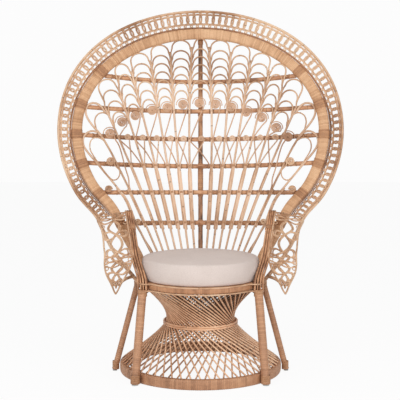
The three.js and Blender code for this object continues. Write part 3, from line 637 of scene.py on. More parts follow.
def wound(path, face, half, pitch, sides=20, closed=False, swell=0.00035, power=0.62):
    """Band wound with strips: each strip is a low pillow, by the root of a sine along the band."""
    length = np.linalg.norm(np.diff(path, axis=0), axis=1).sum()
    joined = np.hstack([path, face])
    if closed:
        length += np.linalg.norm(path[0] - path[-1])
        joined = np.vstack([joined, joined[:1]])
    strips = max(2, int(round(length / pitch)))
    count = strips * PLACES_PER_STRIP + (0 if closed else 1)
    where = np.linspace(0, 1, len(joined))
    span = np.linspace(0, 1, count, endpoint=not closed)
    placed = np.stack([np.interp(span, where, joined[:, axis]) for axis in range(6)], 1)
    pillow = np.abs(np.sin(np.pi * np.arange(count) / PLACES_PER_STRIP)) ** 0.5 * swell
    section = band_section(half[0], half[1], sides, power)
    lengths = np.linalg.norm(section, axis=1)
    rings = section[None] * (1 + pillow[:, None, None] / lengths[None, :, None])
    return sweep(placed[:, :3], placed[:, 3:], rings, closed)


hoop_line, hoop_face = hoop_path(np.linspace(0, 1, 900), HOOP_OFFSET)
make_piece("wound_hoop", [wound(hoop_line, hoop_face, HOOP_HALF, HOOP_STRIP)], WRAP, "wrapped_cane", "hoop")

BORDER_FROM = 0.1
LACE_INNER = 0.0268
LACE_DEPTH = 0.064
LACE_AT_SIDES = 0.6
RIM_RADIUS = 0.0044
border_share = np.linspace(BORDER_FROM, 1 - BORDER_FROM, 640)


def border_cane(offset, radius, w, sides=8):
    """Cane that runs beside the hoop for the length of the border."""
    line, face = hoop_path(border_share, offset, w)
    return cane(line, radius, face, sides)


make_piece("hoop_edge_canes", [border_cane(0.0226, 0.0023, 0.0018), border_cane(0.0262, 0.0021, -0.001)],
           EDGE, "honey_cane", "hoop_edge_cane")


def lace_width(share):
    """Width of the lace: most at the top, and a share of it at the sides."""
    height = np.clip((beside_hoop(share)[..., 1] - WIDE_HEIGHT) / UPPER_RISE, 0, 1)
    height = height * height * (3 - 2 * height)
    return LACE_DEPTH * (LACE_AT_SIDES + (1 - LACE_AT_SIDES) * height)


rim_offset = LACE_INNER + lace_width(border_share) + RIM_RADIUS
make_piece("border_rim_cane", [border_cane(rim_offset, RIM_RADIUS, 0.0, 10)],
           HONEY, "honey_cane", "border_rim")


def lace_point(share, height, w):
    """Place in the lace: share along the hoop, height from 0 at the hoop to 1 at the rim."""
    offset = LACE_INNER + lace_width(share) * height
    uv = beside_hoop(share, offset)
    return on_dish(uv[..., 0], uv[..., 1], hoop_forward(share) + w), dish_face(uv[..., 0], uv[..., 1])
RING_COUNT = 92
RING_PITCH = (1 - 2 * BORDER_FROM) / RING_COUNT
RING_SPAN = (0.21, 0.85)
RING_CANE = 0.0020
RING_TIP = 0.0021
SCALLOP_CANE = 0.0025
LACE_LINE_CANE = 0.0021


def border_rings():
    """Chain of doubled rings: ovals 1.33 pitches wide whose overlaps are narrow lenses, each tipped so that
    one side lies over its neighbour."""
    sweeps = []
    turn = full_turn(24)
    low, high = RING_SPAN
    squared = np.sign(np.sin(turn)) * np.abs(np.sin(turn)) ** 0.8
    for index in range(RING_COUNT):
        middle = BORDER_FROM + (index + 0.5) * RING_PITCH
        for shift in (-0.0016, 0.0016):
            reach = 0.665 * RING_PITCH + shift / HOOP_LENGTH
            share = np.clip(middle + reach * np.cos(turn), BORDER_FROM * 0.99, 1 - BORDER_FROM * 0.99)
            rise = (high - low) / 2 + shift / 0.05
            line, face = lace_point(share, (low + high) / 2 + rise * squared, RING_TIP * np.cos(turn))
            sweeps.append(cane(line, RING_CANE, face, 5, True))
    return sweeps


def border_scallops():
    """Small loops at both edges: a cane that swings between two heights, and turns back on itself at each
    swing so that it closes a loop under every lens; a thin cane runs on either side of them."""
    sweeps = []
    turn = np.linspace(0, 2 * np.pi * RING_COUNT, RING_COUNT * 10 + 1)
    for low, high, back, w in ((0.02, 0.2, 0.42, 0.0015), (0.86, 1.0, 0.34, -0.0012)):
        flip = -1 if low < 0.5 else 1
        share = BORDER_FROM + RING_PITCH * (turn / (2 * np.pi)) - flip * back * RING_PITCH * np.sin(turn)
        share = np.clip(share, BORDER_FROM, 1 - BORDER_FROM)
        height = (low + high) / 2 - flip * (high - low) / 2 * np.cos(turn)
        line, face = lace_point(share, height, w)
        sweeps.append(cane(line, SCALLOP_CANE, face, 5))
    share = np.linspace(BORDER_FROM, 1 - BORDER_FROM, 420)
    for height in (0.19, 0.87):
        line, face = lace_point(share, height, -0.0022)
        sweeps.append(cane(line, LACE_LINE_CANE, face, 5))
    return sweeps


make_piece("border_rings", border_rings(), HONEY, "honey_cane", "border_lace")
make_piece("border_scallops", border_scallops(), HONEY, "honey_cane")

# Ribs, arches, spirals and crossing canes

SEAT_SHARES = np.array([0.032, 0.077, 0.121, 0.165, 0.21, 0.25, 0.286, 0.322])
KNEE_SHARES = np.array([0.081, 0.157, 0.234, 0.317, 0.401, 0.486, 0.573, 0.65])
TOP_SHARES = np.array([0.085, 0.236, 0.387, 0.55, 0.698, 0.893, 1.06, 1.04])
KNEE_HEIGHT = 0.328 * BACK_HEIGHT
TOP_HEIGHT = 0.795 * BACK_HEIGHT
ARCH_COUNTS = [7, 7, 7, 6, 5, 4]
ARCH_PITCHES = 0.0335 * np.array([1.0, 1, 1.02, 1.1, 1.2, 1.3])
FIRST_PITCH = 0.0435
ARCH_RISE = 0.034
ARCH_LEG = 0.024
ARCH_CANE = 0.0034
ARCH_SLIP = 0.0062
RIB_SHORT = 0.9 * ARCH_RISE
RIB_CANE = 0.0043
LEG_WIDTH = 0.005
LEG_GAP = 0.0008
RAIL_HEIGHTS = BACK_HEIGHT * np.array([0.795, 0.669, 0.55, 0.436, 0.326, 0.199])
RAIL_RISES = BACK_HEIGHT * np.array([0.025, 0.005, 0.006, 0.005, -0.008, -0.017])
RAIL_RADIUS = 0.0085
RAIL_DEPTH = -(RIB_RADIUS + 0.0009 + RAIL_RADIUS)
HOOP_ROOM = 0.0204


def rib_u(index, v):
    """Curve of second degree through the rib's places at the seat, at the knee and at the top."""
    a, b, c = 0.0, KNEE_HEIGHT, TOP_HEIGHT
    v = np.asarray(v, float)
    first = SEAT_SHARES[index] * (v - b) * (v - c) / ((a - b) * (a - c))
    second = KNEE_SHARES[index] * (v - a) * (v - c) / ((b - a) * (b - c))
    third = TOP_SHARES[index] * (v - a) * (v - b) / ((c - a) * (c - b))
    return HALF_WIDTH * (first + second + third)


def rib_line(order, v):
    """u of rib number order, from 0 at the far left to 15 at the far right."""
    if order < 8:
        return -rib_u(7 - order, v)
    return rib_u(order - 8, v)


def rail_v(rail, u):
    """Height of a rail at u: a low parabola."""
    return RAIL_HEIGHTS[rail] + RAIL_RISES[rail] * (np.asarray(u, float) / HALF_WIDTH) ** 2


def clear_of_hoop(uv, room):
    """True if all places lie inside the hoop's line and further than room from it."""
    uv = np.atleast_2d(uv)
    line = HOOP_LINE[::4]
    gap = np.linalg.norm(uv[:, None] - line[None], axis=2).min(1)
    nearest = np.linalg.norm(uv[:, None] - line[None], axis=2).argmin(1)
    hub = np.array([0.0, WIDE_HEIGHT])
    inside = np.linalg.norm(uv - hub, axis=1) < np.linalg.norm(line[nearest] - hub, axis=1)
    return bool((inside & (gap > room)).all())


def furthest(places_at, room):
    """Largest share at which the places still clear the hoop, by halving."""
    free, past = 0.0, 1.0
    for _ in range(20):
        middle = (free + past) / 2
        if clear_of_hoop(places_at(middle), room):
            free = middle
        else:
            past = middle
    return free


def bay_edges(bay, v):
    """Inner edges of the arch legs of a bay, left and right."""
    keep = RIB_RADIUS + LEG_GAP + LEG_WIDTH
    right = rib_u(bay, v) - keep
    left = -right if bay == 0 else rib_u(bay - 1, v) + keep
    return left, right


SLOPE_STEP = 0.040


def in_bay(bay, x, v, beside=0.0):
    """x from -1 to 1 across the bay at height v, squared to the bay's own slope."""
    left, right = bay_edges(bay, v)
    next_left, next_right = bay_edges(bay, v + SLOPE_STEP)
    slope = (next_left + next_right - left - right) / 2 / SLOPE_STEP
    down = v - slope * x * (right - left) / 2
    left, right = bay_edges(bay, down)
    return np.stack([(left + right) / 2 + x * ((right - left) / 2 + beside), down], -1)


def arch_top(bay, peak, count=15, beside=0.0):
    """Half turn from one leg to the other: cosine across, sine up."""
    turn = np.pi * np.linspace(1, 0, count)
    return in_bay(bay, np.cos(turn), peak - ARCH_RISE * (1 - np.sin(turn)), beside)


def bay_peak(bay):
    """Height at which the top arch of a bay just clears the hoop."""
    low = WIDE_HEIGHT * 0.6
    span = BACK_HEIGHT - low
    share = furthest(lambda part: arch_top(bay, low + span * part, 4, LEG_WIDTH), HOOP_ROOM)
    return low + span * share


BAY_PEAKS = [bay_peak(bay) for bay in range(7)]


def arch_cane(bay, peak, side):
    """An arch with legs that run down beside the ribs and slip behind them. A leg above its rib's end is
    lengthened to reach it."""
    top = arch_top(bay, peak - 0.0032, 17, 0.0022)
    rib_ends = (BAY_PEAKS[max(bay, 1)], BAY_PEAKS[min(bay + 1, 6)])
    legs, sinks = [], []
    for end in (-1, 1):
        spring = top[0] if end < 0 else top[-1]
        reach = max(ARCH_LEG, spring[1] - rib_ends[end > 0] + RIB_SHORT + 0.010)
        down = np.linspace(0, 1, 7 if reach == ARCH_LEG else 12)[1:]
        sink = np.clip(1 - (1 - down) * reach / ARCH_LEG, 0, 1)
        v = spring[1] - reach * down
        edge = bay_edges(bay, v)[0 if end < 0 else 1]
        legs.append(np.stack([edge + end * (0.0028 + ARCH_SLIP * sink ** 0.9), v], 1))
        sinks.append(sink)
    uv = np.vstack([legs[0][::-1], top, legs[1]])
    sink = np.concatenate([sinks[0][::-1], np.zeros(len(top)), sinks[1]])
    uv[:, 0] *= side
    return dish_cane(uv, ARCH_CANE - 0.0010 * sink, 0.0012 - 0.0050 * sink)


def spiral_line(u, v, radius, thick):
    """Flat winding: the distance from the middle grows by one cane for each turn, out to the right."""
    turns = (radius - 0.75 * thick) / thick
    angle = np.linspace(2 * np.pi * turns, 0, int(22 * turns) + 2)
    reach = radius - thick / 2 - thick * angle / (2 * np.pi)
    return np.stack([u + reach * np.cos(angle), v + reach * np.sin(angle)], 1)


TAIL_RADIUS = 0.0028


def spiral_with_tail(place, tail, radius, thick, w, tail_w, count):
    """Spiral whose outer end runs on through the places of a tail. w is the spiral's height off the dish, and
    tail_w holds the heights of the tail, evenly along it."""
    coil = spiral_line(*place, radius, thick)
    join = flow(np.vstack([coil[-1], tail]), count)[1:]
    down = np.interp(np.linspace(0, 1, len(join)), np.linspace(0, 1, len(tail_w)), tail_w)
    depth = np.concatenate([np.full(len(coil), w), down])
    taper = np.concatenate([np.full(len(coil), thick * 0.5), np.full(len(join), TAIL_RADIUS)])
    return dish_cane(np.vstack([coil, join]), taper, depth)


BUNDLE_SIDE = 0.0058
BUNDLE_END = float(RAIL_HEIGHTS[5]) - 0.026


def beside_rib(order, side, high, low):
    """Places beside a rib, from high down to low."""
    v = np.linspace(high, low, 9)
    return np.stack([rib_line(order, v) + side * BUNDLE_SIDE, v], 1)


SPIRAL_RADIUS = 0.0222
SPIRAL_CANE = 0.0052
HOOD_GAP = 0.0042
HOOD_CANE = 0.0021
SMALL_RADIUS = 0.0145
SMALL_CANE = 0.0046
NAIL_RADIUS = 0.0021
NAIL_HEIGHT = 0.0022
# Middle of each bay's big spiral, in millimetres on the dish, from the left
SPIRAL_PLACES = [(-365.5, 549), (-318.5, 598), (-265.5, 626), (-197.5, 650), (-136.5, 663), (-72.5, 677),
                 (-5.5, 683), (61.5, 678), (125.5, 665), (187.5, 643), (249.5, 619), (306.5, 575),
                 (353.5, 535)]
LAST_ARCH_CANE = 0.0031
# The single arch of an outermost bay, in millimetres on the dish
LAST_ARCH = [(-418, 556), (-422, 575), (-426, 596), (-421, 617), (-408, 630), (-393, 634), (-378, 629),
             (-367, 616), (-357, 598), (-350, 582)]
# Tail of an outer bay's spiral, in millimetres on the dish
OUTER_TAIL = [(-347.5, 530), (-330, 503), (-316, 458), (-304, 412), (-290, 367), (-286.2, 332), (-262, 270),
              (-239, 215)]
nail_places = []


def arch_stack(order):
    """Arches of the bay right of rib number order, one under the other; an outermost bay has one."""
    bay = abs(order - 7)
    side = -1 if order < 7 else 1
    if bay == 6:
        return [dish_cane(np.array(LAST_ARCH) * MM * [-side, 1], LAST_ARCH_CANE, 0.0006, count=34)]
    lower = BAY_PEAKS[bay] - FIRST_PITCH - ARCH_PITCHES[bay] * np.arange(ARCH_COUNTS[bay] - 1)
    return [arch_cane(bay, peak, side) for peak in (BAY_PEAKS[bay], *lower)]


def spiral_hood(place):
    """Half ring of thin cane over a bay's big spiral, from rib to rib."""
    turn = np.linspace(1.02, -0.06, 22) * np.pi
    line = place + (SPIRAL_RADIUS + HOOD_GAP) * np.stack([np.cos(turn), np.sin(turn)], 1)
    return dish_cane(line, HOOD_CANE, 0.001)


def outer_spiral(order, place):
    """Spiral of an outer bay, whose cane runs down beside the outer rib."""
    tail = np.array(OUTER_TAIL) * MM
    if order == 1:
        return spiral_with_tail(place, tail, SPIRAL_RADIUS, SPIRAL_CANE, 0.003, [0.003, 0.003], 26)
    coil = spiral_line(*place, SPIRAL_RADIUS, SPIRAL_CANE) * [-1, 1] + [2 * place[0], 0]
    line = np.vstack([coil, flow(np.vstack([coil[-1], tail * [-1, 1]]), 26)[1:]])
    return dish_cane(line, TAIL_RADIUS, 0.003)


def inner_spiral(order, place):
    """Spiral of a bay, whose cane runs down to the bay's left rib, crosses to the next rib and ends beside it
    under the lowest rail."""
    third = rail_v(2, rib_line(order, RAIL_HEIGHTS[2]))
    fourth = rail_v(3, rib_line(order + 1, RAIL_HEIGHTS[3]))
    at_third = np.array([rib_line(order, third) + 0.0066, third + 0.004])
    at_fourth = np.array([rib_line(order + 1, fourth) - BUNDLE_SIDE, fourth])
    start = place + [SPIRAL_RADIUS - 0.0026, 0]
    down = beside_rib(order + 1, -1, fourth, BUNDLE_END)
    first = [start + [-0.001, -0.014], start * 0.55 + at_third * 0.45 + [0.002, 0]]
    tail = np.vstack([first, [at_third, at_third + [0.001, -0.018], (at_third + at_fourth) / 2], down])
    depths = [0.0035, 0.002, 0.001, 0.001, 0.0034, 0.0] + [-0.0005] * (len(down) - 1)
    return spiral_with_tail(place, tail, SPIRAL_RADIUS, SPIRAL_CANE, 0.0044, depths, 60)


for order in range(1, 14):
    label = "centre" if order == 7 else f"{'left' if order < 7 else 'right'}_{abs(order - 7)}"
    make_piece(f"arch_stack_{label}", arch_stack(order), HONEY, "honey_cane", f"arches_{label}")
    place = np.array(SPIRAL_PLACES[order - 1]) * MM
    nail_places.append((*place, 0.0052))
    spiral = (outer_spiral if order in (1, 13) else inner_spiral)(order, place)
    make_piece(f"big_spiral_{label}", [spiral, spiral_hood(place)], SPIRAL, "honey_cane")


def small_spiral(order):
    """Small spiral on the third rail in a bay, with a tail to the rib on its left and on down beside it."""
    u = (rib_line(order, RAIL_HEIGHTS[2]) + rib_line(order + 1, RAIL_HEIGHTS[2])) / 2 + 0.003
    v = rail_v(2, u) - 0.001
    fourth = rail_v(3, rib_line(order, RAIL_HEIGHTS[3]))
    down = beside_rib(order, 1, fourth, BUNDLE_END - 0.003)
    middle = [(u + 0.008) * 0.5 + down[0, 0] * 0.5 + 0.001, (v + fourth) / 2]
    tail = np.vstack([[[u + 0.0085, v - 0.013]], [middle], down])
    depths = [0.002, -0.0022, -0.001] + [-0.0005] * (len(down) - 1)
    nail_places.append((u, v, 0.0045))
    return spiral_with_tail((u, v), tail, SMALL_RADIUS, SMALL_CANE, 0.0056, depths, 44)


make_piece("rail_spirals", [small_spiral(order) for order in range(2, 13)], RIB, "honey_cane")

# Turned-over tops of the two outer ribs: the height at which they leave the rib's curve, the number of places
# up to there, and the places of the loop in millimetres on the dish
RIB_LOOPS = {
    7: (0.19, 6, [(-294, 277), (-339, 336), (-379, 384), (-418, 431), (-451, 469), (-468, 497), (-470, 525),
                  (-459, 545), (-440, 556), (-419, 554), (-398, 536), (-389, 520)]),
    6: (0.48, 12, [(-402, 543), (-430, 574), (-453, 606), (-462, 634), (-456, 658), (-440, 670), (-418, 670),
                   (-398, 655), (-386, 634)]),
}


def rib_path(index):
    """Left rib as (u, v) places from the seat up; the two outer ones turn over into loops at their tops."""
    if index in RIB_LOOPS:
        leave, count, top = RIB_LOOPS[index]
        v = np.linspace(0, leave, count)
        return np.vstack([np.stack([-rib_u(index, v), v], 1), np.array(top) * MM])
    v = np.linspace(0, min(BAY_PEAKS[index], BAY_PEAKS[index + 1]) - RIB_SHORT, 18)
    return np.stack([-rib_u(index, v), v], 1)


for index in range(8):
    for side, name in ((-1, "left"), (1, "right")):
        line = flow(rib_path(index), 64 if index in RIB_LOOPS else 40) * [-side, 1]
        radius = RIB_CANE + 0.0006 * np.clip((line[:, 1] - 0.60) / 0.12, 0, 1)
        sweeps = [dish_cane(line, radius, 0.0, 8)]
        if index in RIB_LOOPS:
            low = line[(line[:, 1] < 0.33) & (line[:, 1] > BUNDLE_END)]
            sweeps.append(dish_cane(low + [side * 0.0062, 0], 0.0027, -0.001))
        make_piece(f"rib_cane_{name}_{index + 1}", sweeps, RIB, "honey_cane", f"rib_{name}_{index + 1}")

# Left side of the back, in millimetres on the dish: a drop-shaped loop, a tail, a stay, and the low spirals
# as u, v, radius and tail
DROP = [(-424, 530), (-400, 526), (-380, 507), (-360, 473), (-341, 434), (-328, 406), (-326, 383),
        (-335, 365), (-351, 359), (-367, 370), (-396, 406), (-423, 445), (-441, 475), (-445, 498),
        (-440, 518)]
LOW_TAIL = [(-347, 421), (-332, 405), (-318, 386), (-300, 352), (-291, 325)]
STAY = [(-262, 186), (-252, 168), (-224, 125), (-196, 82), (-176, 46)]
LOW_SPIRALS = [(-363, 435, 19, LOW_TAIL), (-369, 319, 17, None), (-253, 188, 14, None)]
LOW_SPIRAL_PITCH = 0.0047
LOW_SPIRAL_DEPTH = 0.0076


def outer_loops():
    """Long drop-shaped loops, low spirals and thin stays at both sides of the back."""
    sweeps = []
    for side in (-1, 1):
        flip = np.array([-side, 1])
        sweeps.append(dish_cane(np.array(DROP) * MM * flip, 0.0027, 0.0045, 6, True, 60))
        for u, v, radius, tail in LOW_SPIRALS:
            coil = spiral_line(u * MM, v * MM, radius * MM, LOW_SPIRAL_PITCH)
            nail_places.append((-side * u * MM, v * MM, LOW_SPIRAL_DEPTH))
            if tail:
                coil = np.vstack([coil, flow(np.vstack([coil[-1], np.array(tail) * MM]), 16)[1:]])
            sweeps.append(dish_cane(coil * flip, 0.0024, LOW_SPIRAL_DEPTH))
        sweeps.append(dish_cane(np.array(STAY) * MM * flip, 0.0023, -0.001, count=16))
    return sweeps


make_piece("side_loops", outer_loops(), HONEY, "honey_cane")


def dome(place, axis, radius, height):
    """Low round nail head: rings that shrink by a cosine as they rise by a sine."""
    turn = np.linspace(0, np.pi / 2, 4)
    path = place + axis * (height * np.sin(turn))[:, None]
    section = round_section(8)[None] * (radius * np.maximum(np.cos(turn), 0.02))[:, None, None]
    return sweep(path, (1.0, 0, 0), section)


nails = [dome(on_dish(u, v, w), dish_face(u, v), NAIL_RADIUS, NAIL_HEIGHT) for u, v, w in nail_places]
make_piece("spiral_nails", nails, EDGE, "honey_cane")

# Rails, their bindings and the pole

RAIL_CANE = 0.0091
KNOT_SWELL = 0.0006
BINDING_RISE = 0.0009
BINDING_HALF = 0.0024
END_ROOM = 0.012


def rail_reach(rail):
    """Half length of a rail, out to where its end meets the hoop."""
    def end_at(part):
        u = HALF_WIDTH * part
        return [[u, float(rail_v(rail, u))]]

    return HALF_WIDTH * furthest(end_at, HOOP_ROOM)


def knotted(radius, along, spacing):
    """Radius that swells in a narrow bell curve at each node of the cane."""
    from_node = np.abs((along / spacing) % 1 - 0.5)
    return radius + KNOT_SWELL * np.exp(-((from_node - 0.5) / 0.02) ** 2)


rail_ends = [rail_reach(rail) for rail in range(6)]
for rail, reach in enumerate(rail_ends):
    u = np.linspace(-reach, reach, 90)
    line = np.stack([u, rail_v(rail, u)], 1)
    radius = knotted(RAIL_CANE, u + 0.3 + 0.05 * rail, 0.155)
    make_piece(f"rail_pole_{rail + 1}", [dish_cane(line, radius, RAIL_DEPTH, 12)], RAIL, "wrapped_cane",
               f"rail_{rail + 1}")


def crossings():
    """Rail, rib and place (u, v) of each crossing of a rib and a rail that the hoop leaves free."""
    for rail in range(6):
        for order in range(16):
            v = float(rail_v(rail, float(rib_line(order, RAIL_HEIGHTS[rail]))))
            u = float(rib_line(order, v))
            if abs(u) <= rail_ends[rail] - END_ROOM:
                yield rail, order, u, v


def rail_bindings():
    """Turns of flat cane round the rail on either side of each crossing."""
    sweeps = []
    for rail, order, u, _ in crossings():
        if abs(u) < END_ROOM:
            continue
        wide = 0.0085 if rail > 2 else 0.005
        for shift in (-1, 1):
            at = u + shift * (wide + 0.0035)
            span = np.linspace(at - BINDING_HALF, at + BINDING_HALF, 3)
            height = rail_v(rail, span)
            strip = round_section(10) * (RAIL_CANE + BINDING_RISE)
            line = on_dish(span, height, RAIL_DEPTH)
            sweeps.append(sweep(line, dish_face(span, height), strip, False, 0.01 * order))
    return sweeps


def crossing_ties():
    """Thin strip over the front of each rib where it crosses a rail: an arc from one side of the rail to the
    other."""
    sweeps = []
    end = 0.35 * np.pi
    flat = band_section(0.0005, 0.0042, 8)
    turn = np.linspace(-end, end, 7)
    depth = RIB_RADIUS * 1.05 - 0.009 * (1 - np.cos(turn)) / (1 - np.cos(end))
    for rail, order, u, v in crossings():
        if rail == 0 and order in (7, 8):
            continue
        line_u = u + (0.0095 if rail > 2 else 0.005) * np.sin(turn) / np.sin(end)
        sweeps.append(sweep(on_dish(line_u, v, depth), dish_face(line_u, v), flat, False, 0.01 * order))
    return sweeps


make_piece("rail_bindings", rail_bindings(), BINDING, "wrapped_cane")
make_piece("crossing_ties", crossing_ties(), BINDING, "honey_cane")


def hoop_sleeve(place, half_length, lift, pitch=0.0038):
    """Strip wound over the hoop where it is nearest to a place (u, v), a little proud of it."""
    share = np.linalg.norm(HOOP_LINE - place, axis=1).argmin() / (len(HOOP_LINE) - 1)
    span = np.linspace(share - half_length / HOOP_LENGTH, share + half_length / HOOP_LENGTH, 12)
    line, face = hoop_path(span, HOOP_OFFSET)
    return wound(line, face, (HOOP_HALF[0] + lift, HOOP_HALF[1] + lift), pitch, 20, False, 0.0003)


dark_sleeves = []
for rail, reach in enumerate(rail_ends):
    half_length = 0.018 if rail < 5 else 0.012
    for end in (-reach, reach):
        dark_sleeves.append(hoop_sleeve([end, float(rail_v(rail, end))], half_length, 0.0012))
make_piece("rail_end_wraps", dark_sleeves, DARK_BINDING, "wrapped_cane")

light_sleeves = []
for order in range(1, 14):
    bay = abs(order - 7)
    top = in_bay(bay, 0.0, BAY_PEAKS[bay]) * [-1 if order < 7 else 1, 1]
    light_sleeves.append(hoop_sleeve(top, 0.0095, 0.0008, 0.0048))
make_piece("arch_wraps", light_sleeves, WRAP, "wrapped_cane")

POLE_RADIUS = 0.010
POLE_DEPTH = RAIL_DEPTH - RAIL_RADIUS - CLEAR - POLE_RADIUS
pole_top = BACK_HEIGHT - HOOP_ROOM + 0.004
pole_v = np.linspace(0, pole_top, 130)
pole_line = on_dish(np.zeros_like(pole_v), pole_v, POLE_DEPTH)
pole_piece = cane(pole_line, knotted(POLE_RADIUS - KNOT_SWELL, pole_v + 0.03, 0.148), FORWARD, 14)
make_piece("back_pole", [pole_piece], POLE, "grey_cane", "centre_pole")


def pole_wraps():
    """Dark turns round the pole at each rail, a wound length between the fourth and fifth, and the tie to the
    hoop."""
    lengths = [(height, 0.014) for height in RAIL_HEIGHTS] + [(sum(RAIL_HEIGHTS[3:5]) / 2, 0.038)]
    spans = [(middle - half, middle + half, BINDING_RISE) for middle, half in lengths]
    sweeps = []
    for low, high, rise in spans + [(pole_top - 0.02, pole_top + 0.004, 0.001)]:
        line = on_dish(np.zeros(8), np.linspace(low, high, 8), POLE_DEPTH)
        half = (POLE_RADIUS + rise,) * 2
        sweeps.append(wound(line, np.tile(FORWARD, (8, 1)), half, 0.004, 14, False, 0.0004, 1.0))
    return sweeps


make_piece("pole_wraps", pole_wraps(), DARK_BINDING, "grey_cane")

# Seat ring with its trim, and the deck

RING_WALL = 0.024
TRIM_CANE = 0.0028
seat_centre = np.array([0, SEAT_Y, 0])


def circle(radius, z, count=160):
    """Ring of places about the seat's middle, and the outward directions."""
    turn = full_turn(count)
    out = np.stack([np.cos(turn), np.sin(turn), np.zeros(count)], 1)
    return seat_centre + radius * out + [0, 0, z], out


ring_line, ring_out = circle(SEAT_RADIUS - RING_WALL / 2, (SEAT_TOP + SEAT_BOTTOM) / 2)
ring_half = (RING_WALL / 2 - 0.0003, 0.0123)
make_piece("wound_seat_ring", [wound(ring_line, ring_out, ring_half, 0.0065, 18, True, 0.0003, 0.5)],
           RING_WRAP, "wrapped_cane", "seat_ring")


def trim_cane(radius, z, bulge):
    """Ring that swells out by a bell curve where it passes round each front leg."""
    line, out = circle(radius, z, 260)
    flat = line - seat_centre
    degrees = np.degrees(np.arctan2(flat[:, 1], np.abs(flat[:, 0])))
    swell = bulge * np.exp(-((degrees + 31.5) / 5.5) ** 4)
    return cane(line + out * swell[:, None], TRIM_CANE, out, 8, True)


trim_sweeps = [trim_cane(SEAT_RADIUS - 0.0014, SEAT_BOTTOM - 0.0026, 0.034),
               trim_cane(SEAT_RADIUS - 0.0002, SEAT_TOP - 0.0024, 0.0275)]
make_piece("seat_trim_canes", trim_sweeps, HONEY, "honey_cane", "seat_trim_cane")


def dress(node, finish):
    """Gives a CAD node that stays visible its finish."""
    node.data.materials.clear()
    node.data.materials.append(finish)


dress(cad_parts["seat_deck"], DECK)

# Hourglass base

BASE_RADIUS = 0.307
BASE_HEIGHT = 0.038
WAIST_HEIGHT = 0.187
WAIST_CANE = 0.0038
WEAVE_CANES = 54
WEAVE_RADIUS = 0.0031
WEAVE_FEET = {1: (BASE_RADIUS - 0.009, BASE_HEIGHT + 0.001), -1: (BASE_RADIUS - 0.019, BASE_HEIGHT + 0.0005)}
WEAVE_TURNS = np.array([0, 65, 110])
CAD_WEAVE_RADIUS = 0.0035
FLAT_SHARE = math.cos(math.pi / 44)
WEAVE_TOP = SEAT_BOTTOM - CLEAR - CAD_WEAVE_RADIUS
WEAVE_RADII = (SEAT_RADIUS - 0.012 - CAD_WEAVE_RADIUS - CLEAR,
               (0.143 - 0.008) * FLAT_SHARE - CAD_WEAVE_RADIUS - 3 * CLEAR,
               (BASE_RADIUS - RING_WALL) * FLAT_SHARE - CAD_WEAVE_RADIUS - CLEAR)
base_line, base_out = circle(BASE_RADIUS - 0.012, BASE_HEIGHT / 2, 220)
make_piece("wound_base_ring", [wound(base_line, base_out, (0.0118, 0.0187), 0.0072, 20, True, 0.00045, 0.4)],
           LEG_WRAP, "wrapped_cane", "base_ring")


def weave_family(direction, inset, turned):
    """Straight canes from the seat ring to the waist and on to the floor ring, turned by 65 and 45 degrees.
    The corner at the waist is rounded by an average over neighbouring places."""
    share = np.linspace(0, 2, 29)
    foot_radius, foot_height = WEAVE_FEET[direction]
    radii = np.array([WEAVE_RADII[0] - inset, WEAVE_RADII[1] - inset, foot_radius])
    sweeps = []
    for index in range(WEAVE_CANES):
        angles = np.radians(360 * (index + turned) / WEAVE_CANES + direction * WEAVE_TURNS)
        heights = [WEAVE_TOP, WAIST_HEIGHT, foot_height]
        corners = np.stack([radii * np.cos(angles), radii * np.sin(angles), heights], 1)
        line = np.stack([np.interp(share, [0, 1, 2], corners[:, axis]) for axis in range(3)], 1)
        line[2:-2] = (line[:-4] + line[1:-3] * 2 + line[2:-2] * 2 + line[3:-1] * 2 + line[4:]) / 8
        sweeps.append(cane(line + seat_centre, WEAVE_RADIUS, line * [1, 1, 0]))
    return sweeps


def ring_cane(radius, z, thick, sides, count):
    """Level ring of cane about the seat's middle."""
    line, out = circle(radius, z, count)
    return cane(line, thick, out, sides, True)


make_piece("weave_canes_outer", weave_family(1, 0.0, 0), OUTER_WEAVE, "honey_cane", "base_weave_outer")
make_piece("weave_canes_inner", weave_family(-1, 0.0078, 0.5), INNER_WEAVE, "honey_cane", "base_weave_inner")
waist_sweeps = [ring_cane(0.139, WAIST_HEIGHT + z, WAIST_CANE, 10, 110) for z in (-WAIST_CANE, WAIST_CANE)]
make_piece("waist_canes", waist_sweeps, OUTER_WEAVE, "honey_cane", "waist_ring")
end_hoops = [ring_cane(WEAVE_RADII[0] - 0.012, WEAVE_TOP - 0.004, 0.0034, 8, 120),
             ring_cane(WEAVE_RADII[2] - 0.0125, 0.022, 0.0034, 8, 120)]
make_piece("weave_end_hoops", end_hoops, HONEY, "honey_cane")

# Legs

GLIDE_HEIGHT = 0.004
SEAT_SHOULDER = SEAT_TOP - RING_WALL * 0.2
BASE_SHOULDER = BASE_HEIGHT - RING_WALL * 0.2


def around_seat(radius, degrees, z):
    """Place at a distance from the seat's middle, by the angle from the right towards the back."""
    turn = math.radians(degrees)
    return seat_centre + [radius * math.cos(turn), radius * math.sin(turn), z]


def leg_ends(radius, top_angle, foot_angle, side):
    """A leg touches the shoulders of both rings; its line runs on to the seat's top and to the glide."""
    fall = SEAT_SHOULDER - BASE_SHOULDER
    half = radius / math.cos(math.atan((BASE_RADIUS - SEAT_RADIUS) / fall))
    high = around_seat(SEAT_RADIUS + CLEAR + half, top_angle, SEAT_SHOULDER)
    low = around_seat(BASE_RADIUS + CLEAR + half, foot_angle, BASE_SHOULDER)
    levels = (SEAT_TOP, GLIDE_HEIGHT + CLEAR)
    return [(high + (low - high) * (SEAT_SHOULDER - level) / fall) * [side, 1, 1] for level in levels]


